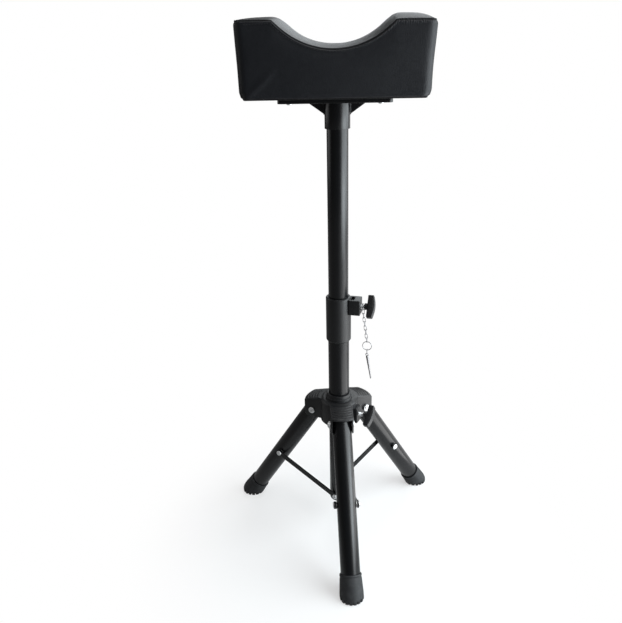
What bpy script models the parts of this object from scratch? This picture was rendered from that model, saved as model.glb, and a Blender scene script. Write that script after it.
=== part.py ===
"""Leg rest stand: a saddle cushion on a telescoping column with a folding tripod.

Metres, +Z up. The front leg points along -Y and the stand's origin is on the floor,
under the middle of its box.
"""

import math

import bmesh
import bpy
from mathutils import Matrix, Vector

# Clearances
FIT_GAP = 0.0003            # between pieces that touch
LEG_SIDE_GAP = 0.0005       # between a leg and each cheek of the hub

# Facets
TUBE_SIDES = 32
BOLT_SIDES = 12
HOLE_SIDES = 12

# Column tubes
UPPER_TUBE_DIAMETER = 0.035
UPPER_TUBE_WALL = 0.0015
UPPER_TUBE_LENGTH = 0.4497
LOWER_TUBE_WALL = 0.0012
LOWER_TUBE_LENGTH = 0.428
COLUMN_CLEARANCE = 0.057    # lower tube's end above the floor
MAST_OVERLAP = 0.1175       # upper tube inside the lower one
PLUG_LENGTH = 0.020
PLUG_FLANGE = 0.003

# Height pin holes along +X and -X
PIN_HOLE_RADIUS = 0.0033
PIN_HOLE_PITCH = 0.040
PIN_HOLE_LEVELS = 7
PIN_HOLE_DROP = 0.047       # below the lower tube's top

# Clamp sleeve and its boss
SLEEVE_WALL = 0.003
SLEEVE_LENGTH = 0.081       # over the lower tube
SLEEVE_LIP = 0.003          # above the lower tube's top
SLEEVE_CHAMFER = 0.0015     # upper edge
SLEEVE_TAPER = 0.0025       # lower edge
BOSS_REACH = 0.0405         # from the column's axis
BOSS_WIDTH = 0.025
BOSS_HEIGHT = 0.0277
BOSS_DROP = 0.0022          # boss top below the sleeve's top
CLAMP_TURN = math.radians(72)
CLAMP_KNOB_TURN = math.radians(-38)
NUT_THICKNESS = 0.0065
NUT_RADIUS = 0.0075         # to the corners
NUT_WALL = 0.0035           # between the lower tube and the nut slot
CLAMP_PAD_RADIUS = 0.005

# Screws and wing knobs of the clamp and of the hub lock
LOCK_SCREW_RADIUS = 0.004
CLAMP_SCREW_SHOWN = 0.0065  # between the boss and the knob
HUB_SCREW_SHOWN = 0.010
SCREW_IN_KNOB = 0.009
KNOB_LENGTH = 0.0405
KNOB_WIDTH = 0.013
KNOB_THICKNESS = 0.0100     # at the bar's ends
KNOB_BOW = 0.0035           # outer face's middle past its ends
KNOB_STEPS = 8              # facets along the bow
KNOB_NECK_RADIUS = 0.006
KNOB_NECK_LENGTH = 0.005

# Chain, ring and height pin
LOOP_RADIUS = 0.0062        # centre line of the loop on the clamp screw
LOOP_WIRE = 0.0014
LINK_COUNT = 8
LINK_LENGTH = 0.0101        # centre line, end to end
LINK_WIDTH = 0.0044         # centre line, side to side
LINK_WIRE = 0.0012
RING_RADIUS = 0.0083        # centre line
RING_WIRE = 0.0013
EYE_RADIUS = 0.0024         # centre line
EYE_WIRE = 0.0013
PIN_LENGTH = 0.0488
PIN_TOP_RADIUS = 0.0026
PIN_TIP_RADIUS = 0.0012
CHAIN_LEAN = math.radians(5.5)    # away from the column
CHAIN_SWAY = math.radians(8.5)    # keeps the pin clear of the hub's knob as the legs fold
PIN_LEAN = math.radians(9)

# Hub, measured from the leg pivots' level and the column's axis
LEG_PIVOT_RADIUS = 0.048
HUB_CORE_RADIUS = 0.035
HUB_SKIRT = 0.018           # core below the pivots
HUB_RISE = 0.030            # lobe top above the pivots, at the core
HUB_ROOF = 0.0031
LOBE_REACH = 0.063
LOBE_DROP = 0.0087          # fall of a lobe's top to its outer edge
LOBE_EDGE = 0.0025          # chamfer of that edge
LOBE_LIP = 0.017            # lip's lower edge above the pivots
CHEEK_WALL = 0.0025
CHEEK_DEPTH = 0.0135        # cheeks below the pivots
CHEEK_CORNER = 0.0035       # chamfer of the cheeks' lower corner
LOBE_BULGE = 0.0045         # outer edge's middle past its corners
LOBE_STEPS = 8              # facets across the bulge
SLOT_START = 0.0245
HUB_RING_STEP = 0.006
HUB_RING_RADII = (0.0250, 0.0230)
RIB_COUNT = 5
RIB_PITCH = 0.0055
RIB_START = 0.0335
RIB_WIDTH = 0.0028
RIB_HEIGHT = 0.0010
HUB_LOCK_TURN = math.radians(60)
HUB_KNOB_TURN = math.radians(-52)
HUB_LOCK_RISE = 0.003
HUB_LOCK_BOSS_WIDTH = 0.019
HUB_LOCK_BOSS_REACH = 0.041
HUB_LOCK_BOSS_TOP = 0.017    # above the pivots
HUB_LOCK_BOSS_DROP = 0.013   # below the pivots
HUB_NUT_START = 0.0298       # nut slot from the column's axis

# Legs
LEG_TURNS = {"front": 0.0, "right": math.radians(120), "left": math.radians(-120)}
LEG_DIAMETER = 0.035
LEG_WALL = 0.0015
LEG_SPREAD = math.radians(32.3)
LEG_LENGTH = 0.3005         # pivot to floor along the leg
LEG_TOP = 0.010             # tube above the pivot
LEG_END = 0.014             # tube's lower end above the floor, along the leg
PIVOT_RADIUS = 0.004
PIVOT_HEAD_RADIUS = 0.0062
PIVOT_HEAD = 0.0028
PIVOT_NUT = 0.004
PIVOT_NUT_RADIUS = 0.0072

# Rubber boots, heights along the leg from the floor
FOOT_HEIGHT = 0.040
FOOT_TOP_RADIUS = 0.0193
FOOT_RADIUS = 0.0214
FOOT_BULGE_HEIGHT = 0.008
FOOT_UNDER = 0.0145
FOOT_NOTCHES = 16
FOOT_NOTCH_WIDTH = 0.0022
FOOT_NOTCH_HEIGHT = 0.006
FOOT_NOTCH_START = 0.0175

# Struts
STRUT_WIDTH = 0.010
STRUT_THICKNESS = 0.0025
STRUT_ON_LEG = 0.143        # from the leg's pivot along the leg
STRUT_BASE_RISE = 0.009     # above the lower tube's end
STRUT_BOLT_RADIUS = 0.003
STRUT_HEAD_RADIUS = 0.005
STRUT_HEAD = 0.0028
STRUT_WASHER_RADIUS = 0.006
STRUT_NUT = 0.005
STRUT_NUT_RADIUS = 0.0062
BOLT_TAIL = 0.0015          # thread past a nut
BASE_BOLT_DEPTH = 0.008     # into the plug

# Head
HEAD_TURN = math.radians(-7.4)
HEAD_SHIFT = -0.002         # plate and cushion off the collar's axis
COLLAR_LENGTH = 0.0427
COLLAR_WALL = 0.0026
PLATE_WIDTH = 0.172
PLATE_DEPTH = 0.120
PLATE_THICKNESS = 0.0065
PLATE_CORNER = 0.006
GUSSET_REACH = 0.049
GUSSET_DROP = 0.0215
GUSSET_THICKNESS = 0.004
CUSHION_SCREW_INSET = 0.017 # from the plate's edges
CUSHION_SCREW_RADIUS = 0.0022
CUSHION_SCREW_LENGTH = 0.014
CUSHION_SCREW_HEAD_RADIUS = 0.0045
CUSHION_SCREW_HEAD = 0.0024

# Cushion
CUSHION_WIDTH = 0.2832
CUSHION_BASE_WIDTH = 0.2800
CUSHION_DEPTH = 0.160
CUSHION_HEIGHT = 0.1057     # to the shoulder seams
SADDLE_WIDTH = 0.174
SADDLE_DEPTH = 0.0375
CUSHION_CROWN = 0.0088      # square to the top
CUSHION_BULGE = 0.003
CUSHION_WAIST = 0.002       # drawn-in sides
COVER_THICKNESS = 0.0012
BOARD_THICKNESS = 0.009
FOAM_TOP_GAP = 0.0030       # foam below the cover's outside, on the saddle's slopes
SHOULDER_STEPS = 3
SADDLE_STEPS = 12
DEPTH_STEPS = 6
HEIGHT_STEPS = 4
WRAP_CELLS = (2, 1)         # cover cells folded under the board

# Worked out from the sizes above
UPPER_RADIUS = UPPER_TUBE_DIAMETER / 2
COLUMN_BORE = UPPER_RADIUS + FIT_GAP
LOWER_RADIUS = COLUMN_BORE + LOWER_TUBE_WALL
COLUMN_TOP = COLUMN_CLEARANCE + LOWER_TUBE_LENGTH
MAST_BOTTOM = COLUMN_TOP - MAST_OVERLAP
MAST_TOP = MAST_BOTTOM + UPPER_TUBE_LENGTH
SLIDE_BORE = LOWER_RADIUS + FIT_GAP
SLEEVE_RADIUS = SLIDE_BORE + SLEEVE_WALL
SLEEVE_TOP = COLUMN_TOP + FIT_GAP + SLEEVE_LIP
PIN_LEVEL = COLUMN_TOP - PIN_HOLE_DROP
BOSS_TOP = SLEEVE_TOP - BOSS_DROP
CLAMP_LEVEL = BOSS_TOP - BOSS_HEIGHT / 2
NUT_START = SLIDE_BORE + NUT_WALL
CLAMP_PAD_START = COLUMN_BORE
PLATE_BOTTOM = MAST_TOP + FIT_GAP
PLATE_TOP = PLATE_BOTTOM + PLATE_THICKNESS
COLLAR_RADIUS = COLUMN_BORE + COLLAR_WALL
CUSHION_BOTTOM = PLATE_TOP + FIT_GAP
SADDLE_RADIUS = (SADDLE_WIDTH**2 / 4 + SADDLE_DEPTH**2) / (2 * SADDLE_DEPTH)
LEG_RADIUS = LEG_DIAMETER / 2
PIVOT_LEVEL = LEG_LENGTH * math.cos(LEG_SPREAD)
CHEEK_INSIDE = LEG_RADIUS + LEG_SIDE_GAP
CHEEK_OUTSIDE = CHEEK_INSIDE + CHEEK_WALL
STRUT_PLANE = LOWER_RADIUS + FIT_GAP
STRUT_OUTSIDE = STRUT_PLANE + STRUT_THICKNESS
STRUT_BASE_LEVEL = COLUMN_CLEARANCE + STRUT_BASE_RISE
STRUT_REACH = LEG_PIVOT_RADIUS + STRUT_ON_LEG * math.sin(LEG_SPREAD)
STRUT_LIFT = PIVOT_LEVEL - STRUT_ON_LEG * math.cos(LEG_SPREAD) - STRUT_BASE_LEVEL
STRUT_LENGTH = math.hypot(STRUT_REACH, STRUT_LIFT)
STRUT_SLOPE = math.atan2(STRUT_REACH, STRUT_LIFT)
FOLD_RISE = (
    STRUT_BASE_LEVEL
    + math.sqrt(STRUT_LENGTH**2 - LEG_PIVOT_RADIUS**2)
    + STRUT_ON_LEG
    - PIVOT_LEVEL
)
SMOOTH_ANGLE = math.radians(35)
MERGE_DISTANCE = 1e-6
TOOL_REACH = 0.01           # how far cutters run past what they cut
WELD = 0.0006               # overlap of shapes that are joined


def remove_old_objects():
    """Empties the scene."""
    for old in list(bpy.data.objects):
        bpy.data.objects.remove(old)


def finish(name, color, roughness, metallic):
    """A plain Principled material."""
    material = bpy.data.materials.new(name)
    material.use_nodes = True
    shader = material.node_tree.nodes["Principled BSDF"]
    shader.inputs["Base Color"].default_value = (*color, 1.0)
    shader.inputs["Roughness"].default_value = roughness
    shader.inputs["Metallic"].default_value = metallic
    return material


def empty(name, parent=None, location=(0, 0, 0), rotation=(0, 0, 0)):
    """A named empty that carries the pieces of one moving group."""
    holder = bpy.data.objects.new(name, None)
    bpy.context.scene.collection.objects.link(holder)
    holder.parent = parent
    holder.location = location
    holder.rotation_euler = rotation
    return holder


def piece(name, bm, material, parent):
    """A named object from a bmesh, shaded smooth on its round faces."""
    mesh = bpy.data.meshes.new(name)
    bm.to_mesh(mesh)
    bm.free()
    mesh.shade_smooth()
    mesh.set_sharp_from_angle(angle=SMOOTH_ANGLE)
    mesh.materials.append(material)
    obj = bpy.data.objects.new(name, mesh)
    bpy.context.scene.collection.objects.link(obj)
    obj.parent = parent
    return obj


def combine(obj, bm, operation, parent=None, location=(0, 0, 0), rotation=(0, 0, 0)):
    """Cuts a tool shape out of a piece, or joins it on, with a live Boolean."""
    mesh = bpy.data.meshes.new("tool_" + obj.name)
    bm.to_mesh(mesh)
    bm.free()
    tool = bpy.data.objects.new("tool_" + obj.name, mesh)
    bpy.context.scene.collection.objects.link(tool)
    tool.parent = parent or obj.parent
    tool.location = location
    tool.rotation_euler = rotation
    tool.hide_render = True
    tool.display_type = "WIRE"
    modifier = obj.modifiers.new(operation.lower(), "BOOLEAN")
    modifier.operation = operation
    modifier.object = tool


def cut(obj, bm, **place):
    """Cuts a tool shape out of a piece."""
    combine(obj, bm, "DIFFERENCE", **place)


def join(obj, bm, **place):
    """Joins a tool shape to a piece."""
    combine(obj, bm, "UNION", **place)


def turned(profile, sides, ring=False):
    """Spins (radius, height) points about Z; a ring's profile closes on itself."""
    bm = bmesh.new()
    verts = [bm.verts.new((radius, 0.0, height)) for radius, height in profile]
    edges = [bm.edges.new(pair) for pair in zip(verts, verts[1:])]
    if ring:
        edges.append(bm.edges.new((verts[-1], verts[0])))
    bmesh.ops.spin(
        bm,
        geom=verts + edges,
        cent=(0, 0, 0),
        axis=(0, 0, 1),
        angle=math.tau,
        steps=sides,
        use_merge=True,
    )
    bmesh.ops.remove_doubles(bm, verts=bm.verts, dist=MERGE_DISTANCE)
    bmesh.ops.recalc_face_normals(bm, faces=bm.faces)
    return bm


def tube(outer, inner, low, high, sides=TUBE_SIDES):
    """A straight tube along Z."""
    return turned([(outer, high), (outer, low), (inner, low), (inner, high)], sides, ring=True)


def rod(radius, low, high, sides=HOLE_SIDES):
    """A plain round bar along Z."""
    return turned([(0, high), (radius, high), (radius, low), (0, low)], sides)


def prism(outline, low, high):
    """Extrudes a closed outline of (x, y) points along Z."""
    bm = bmesh.new()
    base = bm.faces.new([bm.verts.new((x, y, low)) for x, y in outline])
    raised = bmesh.ops.extrude_face_region(bm, geom=[base])["geom"]
    moved = [part for part in raised if isinstance(part, bmesh.types.BMVert)]
    bmesh.ops.translate(bm, verts=moved, vec=(0, 0, high - low))
    bmesh.ops.recalc_face_normals(bm, faces=bm.faces)
    return bm


def block(low, high):
    """A box between two corners."""
    bm = bmesh.new()
    size = Vector(high) - Vector(low)
    centre = (Vector(high) + Vector(low)) / 2
    matrix = Matrix.Translation(centre) @ Matrix.Diagonal((*size, 1.0))
    bmesh.ops.create_cube(bm, size=1.0, matrix=matrix)
    return bm


def moved(bm, matrix):
    """The same shape, placed by a matrix."""
    bmesh.ops.transform(bm, matrix=matrix, verts=bm.verts)
    return bm


def together(shapes):
    """Several shapes that don't touch, as one tool."""
    whole = bmesh.new()
    for shape in shapes:
        mesh = bpy.data.meshes.new("shape")
        shape.to_mesh(mesh)
        shape.free()
        whole.from_mesh(mesh)
        bpy.data.meshes.remove(mesh)
    return whole


def along_x(bm):
    """Turns a shape made along Z to lie along X."""
    return moved(bm, Matrix.Rotation(math.pi / 2, 4, "Y"))


def bulged(outline, half_width):
    """Carries an outline of (reach, height) across X; its reach swells towards the middle.

    The swell falls off with the square of the distance from the middle, to zero at the cheeks.
    """
    bm = bmesh.new()
    rows = []
    for step in range(LOBE_STEPS + 1):
        across = 2 * step / LOBE_STEPS - 1
        swell = LOBE_BULGE * (1 - across**2)
        rows.append([bm.verts.new((across * half_width, -reach - swell, height)) for reach, height in outline])
    for row, after in zip(rows, rows[1:]):
        for index in range(len(outline)):
            bm.faces.new((row[index - 1], row[index], after[index], after[index - 1]))
    bm.faces.new(rows[0])
    bm.faces.new(rows[-1])
    bmesh.ops.recalc_face_normals(bm, faces=bm.faces)
    return bm


def slot_outline(length, width, sides=8):
    """A bar outline with round ends, centred, long along Y."""
    radius = width / 2
    points = []
    for end, start in ((1, 0.0), (-1, math.pi)):
        for step in range(sides + 1):
            angle = start + math.pi * step / sides
            points.append((radius * math.cos(angle), end * (length / 2 - radius) + radius * math.sin(angle)))
    return points


def rounded_rectangle(width, depth, corner, steps=4):
    """A rectangle outline with round corners, centred."""
    points = []
    for quarter, (sx, sy) in enumerate(((1, 1), (-1, 1), (-1, -1), (1, -1))):
        for step in range(steps + 1):
            angle = (quarter + step / steps) * math.pi / 2
            x = sx * (width / 2 - corner) + corner * math.cos(angle)
            y = sy * (depth / 2 - corner) + corner * math.sin(angle)
            points.append((x, y))
    return points


def bolt(head_radius, head, shank_radius, length):
    """A button-head bolt along Z: the head above zero, the shank below."""
    profile = [
        (0, head),
        (head_radius * 0.55, head * 0.93),
        (head_radius * 0.9, head * 0.6),
        (head_radius, 0),
        (shank_radius, 0),
        (shank_radius, -length),
        (0, -length),
    ]
    return turned(profile, BOLT_SIDES)


def hex_nut(radius, bolt_radius, low, high):
    """A hexagonal nut along Z, clear of its bolt."""
    bore = (bolt_radius + FIT_GAP) / math.cos(math.pi / 6)
    return tube(radius, bore, low, high, sides=6)


def closed_wire(name, outline, wire, material, parent, matrix):
    """A closed wire loop: outline points, put in place by a matrix, with a round section."""
    curve = bpy.data.curves.new(name, "CURVE")
    curve.dimensions = "3D"
    curve.bevel_depth = wire / 2
    curve.bevel_resolution = 1
    curve.render_resolution_u = 0
    spline = curve.splines.new("POLY")
    spline.points.add(len(outline) - 1)
    for point, (x, y) in zip(spline.points, outline):
        point.co = (*(matrix @ Vector((x, y, 0))), 1.0)
    spline.use_cyclic_u = True
    curve.materials.append(material)
    obj = bpy.data.objects.new(name, curve)
    bpy.context.scene.collection.objects.link(obj)
    obj.parent = parent
    return obj


def circle_outline(radius, sides):
    """Points round a circle."""
    angles = [math.tau * step / sides for step in range(sides)]
    return [(radius * math.cos(angle), radius * math.sin(angle)) for angle in angles]


def column(materials, root):
    """The lower tube, its plug and the clamp sleeve with nut and pad."""
    lower = piece("lower_tube", tube(LOWER_RADIUS, COLUMN_BORE, COLUMN_CLEARANCE, COLUMN_TOP), materials["steel"], root)
    pin_hole = along_x(rod(PIN_HOLE_RADIUS, -2 * SLEEVE_RADIUS, 2 * SLEEVE_RADIUS))
    cut(lower, pin_hole, location=(0, 0, PIN_LEVEL))
    pad_hole = along_x(rod(CLAMP_PAD_RADIUS + FIT_GAP, 0, SLEEVE_RADIUS))
    cut(lower, pad_hole, location=(0, 0, CLAMP_LEVEL), rotation=(0, 0, CLAMP_TURN - math.pi / 2))
    cut(lower, base_bolt_holes(), location=(0, 0, STRUT_BASE_LEVEL))

    profile = [
        (SLEEVE_RADIUS - SLEEVE_CHAMFER, SLEEVE_TOP),
        (SLEEVE_RADIUS, SLEEVE_TOP - SLEEVE_CHAMFER),
        (SLEEVE_RADIUS, COLUMN_TOP - SLEEVE_LENGTH + SLEEVE_TAPER),
        (SLEEVE_RADIUS - SLEEVE_TAPER, COLUMN_TOP - SLEEVE_LENGTH),
        (SLIDE_BORE, COLUMN_TOP - SLEEVE_LENGTH),
        (SLIDE_BORE, COLUMN_TOP + FIT_GAP),
        (COLUMN_BORE, COLUMN_TOP + FIT_GAP),
        (COLUMN_BORE, SLEEVE_TOP),
    ]
    sleeve = piece("clamp_sleeve", turned(profile, TUBE_SIDES, ring=True), materials["plastic"], root)
    turn = {"rotation": (0, 0, CLAMP_TURN - math.pi / 2)}
    boss_low = (SLIDE_BORE + WELD, -BOSS_WIDTH / 2, BOSS_TOP - BOSS_HEIGHT)
    join(sleeve, block(boss_low, (BOSS_REACH, BOSS_WIDTH / 2, BOSS_TOP)), **turn)
    nut_space = NUT_RADIUS + FIT_GAP
    slot_low = (NUT_START, -nut_space, CLAMP_LEVEL - nut_space)
    slot_high = (NUT_START + NUT_THICKNESS + 2 * FIT_GAP, nut_space, BOSS_TOP + TOOL_REACH)
    cut(sleeve, block(slot_low, slot_high), **turn)
    screw_hole = along_x(rod(LOCK_SCREW_RADIUS + FIT_GAP, COLUMN_BORE, BOSS_REACH + TOOL_REACH))
    cut(sleeve, screw_hole, location=(0, 0, CLAMP_LEVEL), **turn)
    pad_space = along_x(rod(CLAMP_PAD_RADIUS + FIT_GAP, COLUMN_BORE, NUT_START - NUT_WALL / 2))
    cut(sleeve, pad_space, location=(0, 0, CLAMP_LEVEL), **turn)
    sleeve_pin_hole = along_x(rod(PIN_HOLE_RADIUS, -2 * SLEEVE_RADIUS, 2 * SLEEVE_RADIUS))
    cut(sleeve, sleeve_pin_hole, location=(0, 0, PIN_LEVEL))

    clamp = empty("clamp_axis", root, (0, 0, CLAMP_LEVEL), turn["rotation"])
    nut_low = NUT_START + FIT_GAP
    nut = along_x(hex_nut(NUT_RADIUS, LOCK_SCREW_RADIUS, nut_low, nut_low + NUT_THICKNESS))
    piece("clamp_nut", nut, materials["zinc"], clamp)
    pad = along_x(rod(CLAMP_PAD_RADIUS, CLAMP_PAD_START, clamp_screw_tip() - FIT_GAP))
    piece("clamp_pad", pad, materials["plastic"], clamp)

    plug_top = COLUMN_CLEARANCE + PLUG_LENGTH
    plug_bottom = COLUMN_CLEARANCE - FIT_GAP
    plug_radius = COLUMN_BORE - FIT_GAP
    profile = [
        (0, plug_top),
        (plug_radius, plug_top),
        (plug_radius, plug_bottom),
        (LOWER_RADIUS, plug_bottom),
        (LOWER_RADIUS, plug_bottom - PLUG_FLANGE),
        (0, plug_bottom - PLUG_FLANGE),
    ]
    plug = piece("spreader_plug", turned(profile, TUBE_SIDES), materials["plastic"], root)
    cut(plug, base_bolt_holes(), location=(0, 0, STRUT_BASE_LEVEL))
    for name, angle in LEG_TURNS.items():
        length = STRUT_OUTSIDE + FIT_GAP - (plug_radius - BASE_BOLT_DEPTH)
        shape = along_x(bolt(STRUT_HEAD_RADIUS, STRUT_HEAD, STRUT_BOLT_RADIUS, length))
        seat = Matrix.Translation((STRUT_OUTSIDE + FIT_GAP, 0, STRUT_BASE_LEVEL))
        shape = moved(shape, Matrix.Rotation(angle, 4, "Z") @ seat)
        piece("strut_base_bolt_" + name, shape, materials["zinc"], root)
    return clamp


def clamp_screw_tip():
    """Reach of the clamp screw's inner end, just outside the lower tube."""
    return SLIDE_BORE


def base_bolt_holes():
    """Three blind radial holes for the strut bolts, at the struts' hinge level."""
    depth = COLUMN_BORE - FIT_GAP - BASE_BOLT_DEPTH - FIT_GAP
    holes = []
    for angle in LEG_TURNS.values():
        hole = along_x(rod(STRUT_BOLT_RADIUS + FIT_GAP, depth, LOWER_RADIUS + TOOL_REACH))
        holes.append(moved(hole, Matrix.Rotation(angle, 4, "Z")))
    return together(holes)


def knob_and_screw(name, holder, tip, start, shown, materials):
    """A screw along X from its tip, and a bowed bar knob past the shown stretch of thread."""
    neck = start + shown
    face = neck + KNOB_NECK_LENGTH
    outer = face + KNOB_THICKNESS
    screw_end = neck + SCREW_IN_KNOB
    screw = along_x(rod(LOCK_SCREW_RADIUS, tip, screw_end, sides=BOLT_SIDES))
    piece(name + "_screw", screw, materials["zinc"], holder)
    neck_shape = along_x(rod(KNOB_NECK_RADIUS, neck, face + WELD, sides=2 * BOLT_SIDES))
    knob = piece(name + "_knob", neck_shape, materials["plastic"], holder)
    outline = [(face, KNOB_LENGTH / 2), (face, -KNOB_LENGTH / 2)]
    for step in range(KNOB_STEPS + 1):
        share = 2 * step / KNOB_STEPS - 1
        outline.append((outer + KNOB_BOW * (1 - share**2), KNOB_LENGTH / 2 * share))
    bar = prism(outline, -KNOB_WIDTH / 2, KNOB_WIDTH / 2)
    join(knob, moved(bar, Matrix.Rotation(math.pi / 2, 4, "X")))
    cut(knob, along_x(rod(LOCK_SCREW_RADIUS + FIT_GAP, neck - TOOL_REACH, screw_end + FIT_GAP)))


def mast(materials, parent):
    """The upper tube with its pin holes, and the plug in its lower end."""
    upper = piece(
        "upper_tube",
        tube(UPPER_RADIUS, UPPER_RADIUS - UPPER_TUBE_WALL, MAST_BOTTOM, MAST_TOP),
        materials["steel"],
        parent,
    )
    holes = []
    for level in range(PIN_HOLE_LEVELS):
        hole = along_x(rod(PIN_HOLE_RADIUS, -2 * UPPER_RADIUS, 2 * UPPER_RADIUS, sides=8))
        height = PIN_LEVEL + level * PIN_HOLE_PITCH
        holes.append(moved(hole, Matrix.Translation((0, 0, height))))
    cut(upper, together(holes))
    inner = UPPER_RADIUS - UPPER_TUBE_WALL - FIT_GAP
    profile = [
        (0, MAST_BOTTOM + PLUG_LENGTH),
        (inner, MAST_BOTTOM + PLUG_LENGTH),
        (inner, MAST_BOTTOM - FIT_GAP),
        (UPPER_RADIUS, MAST_BOTTOM - FIT_GAP),
        (UPPER_RADIUS, MAST_BOTTOM - FIT_GAP - PLUG_FLANGE),
        (0, MAST_BOTTOM - FIT_GAP - PLUG_FLANGE),
    ]
    piece("mast_end_plug", turned(profile, TUBE_SIDES), materials["plastic"], parent)


def head(materials, holder):
    """The welded bracket with its collar and gussets, and the cushion on it."""
    shift = Matrix.Translation((HEAD_SHIFT, 0, 0))
    plate = prism(rounded_rectangle(PLATE_WIDTH, PLATE_DEPTH, PLATE_CORNER), PLATE_BOTTOM, PLATE_TOP)
    bracket = piece("head_bracket", moved(plate, shift), materials["steel"], holder)
    collar_low = PLATE_BOTTOM - COLLAR_LENGTH
    join(bracket, tube(COLLAR_RADIUS, COLUMN_BORE, collar_low, PLATE_BOTTOM + WELD))
    gussets = []
    for side in (0, math.pi):
        outline = [
            (COLLAR_RADIUS - WELD, PLATE_BOTTOM + WELD),
            (COLLAR_RADIUS - WELD, PLATE_BOTTOM - GUSSET_DROP),
            (GUSSET_REACH, PLATE_BOTTOM),
            (GUSSET_REACH, PLATE_BOTTOM + WELD),
        ]
        gusset = prism(outline, -GUSSET_THICKNESS / 2, GUSSET_THICKNESS / 2)
        upright = Matrix.Rotation(math.pi / 2, 4, "X")
        gussets.append(moved(gusset, Matrix.Rotation(side, 4, "Z") @ upright))
    join(bracket, together(gussets))
    cut(bracket, cushion_screw_holes())

    board_low = CUSHION_BOTTOM + COVER_THICKNESS + FIT_GAP
    board_width = CUSHION_BASE_WIDTH - 2 * (COVER_THICKNESS + FIT_GAP + CUSHION_WAIST)
    board_depth = CUSHION_DEPTH - 2 * (COVER_THICKNESS + FIT_GAP)
    corner = Vector((board_width / 2, board_depth / 2, 0))
    top = Vector((0, 0, board_low + BOARD_THICKNESS))
    board_shape = block(-corner + Vector((0, 0, board_low)), corner + top)
    board = piece("base_board", moved(board_shape, shift), materials["plywood"], holder)
    cut(board, cushion_screw_holes())
    for number, (x, y) in enumerate(screw_places(), start=1):
        shape = bolt(CUSHION_SCREW_HEAD_RADIUS, CUSHION_SCREW_HEAD, CUSHION_SCREW_RADIUS, CUSHION_SCREW_LENGTH)
        upside = Matrix.Rotation(math.pi, 4, "X")
        shape = moved(shape, Matrix.Translation((x, y, PLATE_BOTTOM - FIT_GAP)) @ upside)
        piece(f"cushion_screw_{number}", shape, materials["zinc"], holder)

    cover = piece("cushion_cover", cushion_grid(0.0, 0.0, CUSHION_BOTTOM, open_below=True), materials["leather"], holder)
    shell = cover.modifiers.new("shell", "SOLIDIFY")
    shell.thickness = COVER_THICKNESS
    shell.offset = -1
    shell.use_even_offset = True
    foam_low = board_low + BOARD_THICKNESS + FIT_GAP
    foam = cushion_grid(COVER_THICKNESS + FIT_GAP, FOAM_TOP_GAP, foam_low)
    piece("foam_core", foam, materials["foam"], holder)


def screw_places():
    """Where the four cushion screws stand."""
    x = PLATE_WIDTH / 2 - CUSHION_SCREW_INSET
    y = PLATE_DEPTH / 2 - CUSHION_SCREW_INSET
    return [(HEAD_SHIFT + sx * x, sy * y) for sx, sy in ((1, 1), (-1, 1), (-1, -1), (1, -1))]


def cushion_screw_holes():
    """Blind holes for the cushion screws, through the plate into the board."""
    top = PLATE_BOTTOM - FIT_GAP + CUSHION_SCREW_LENGTH + FIT_GAP
    shapes = []
    for x, y in screw_places():
        hole = rod(CUSHION_SCREW_RADIUS + FIT_GAP, PLATE_BOTTOM - TOOL_REACH, top)
        shapes.append(moved(hole, Matrix.Translation((x, y, 0))))
    return together(shapes)


def saddle_height(x):
    """Height of the cushion's seam line above its bottom: flat shoulders and a round hollow."""
    if abs(x) >= SADDLE_WIDTH / 2:
        return CUSHION_HEIGHT
    return CUSHION_HEIGHT - SADDLE_DEPTH + SADDLE_RADIUS - math.sqrt(SADDLE_RADIUS**2 - x * x)


def saddle_cosine(x):
    """Cosine of the top's slope: one on the flat shoulders, less in the hollow."""
    if abs(x) >= SADDLE_WIDTH / 2:
        return 1.0
    return math.sqrt(1 - (x / SADDLE_RADIUS) ** 2)


def cushion_point(across, along, up, inset, top_gap, bottom):
    """A point of the cushion: shares across and along from -1 to 1, and up from 0 to 1.

    The top has a crown that dies out at the seams, the front and back swell between
    the edges, and the sides are drawn in between the corners.
    """
    width = CUSHION_BASE_WIDTH + (CUSHION_WIDTH - CUSHION_BASE_WIDTH) * up
    waist = CUSHION_WAIST * (1 - along**2) * abs(across) ** 3
    half = width / 2 - inset
    x = half * across - math.copysign(waist, across)
    swell = CUSHION_BULGE * (1 - across**2) * 4 * up * (1 - up)
    y = (CUSHION_DEPTH / 2 - inset + swell) * along
    crown = CUSHION_CROWN * (1 - along**2) * (1 - across**8) / saddle_cosine(width / 2 * across)
    top = CUSHION_BOTTOM + saddle_height(width / 2 * across) + crown - top_gap
    return (HEAD_SHIFT + x, y, bottom + (top - bottom) * up)


def cushion_shares():
    """Shares across the cushion, with points on both edges of the saddle."""
    edge = SADDLE_WIDTH / CUSHION_WIDTH
    outer = [edge + (1 - edge) * step / SHOULDER_STEPS for step in range(1, SHOULDER_STEPS + 1)]
    inner = [edge * (2 * step / SADDLE_STEPS - 1) for step in range(SADDLE_STEPS + 1)]
    return [-share for share in reversed(outer)] + inner + outer


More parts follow.
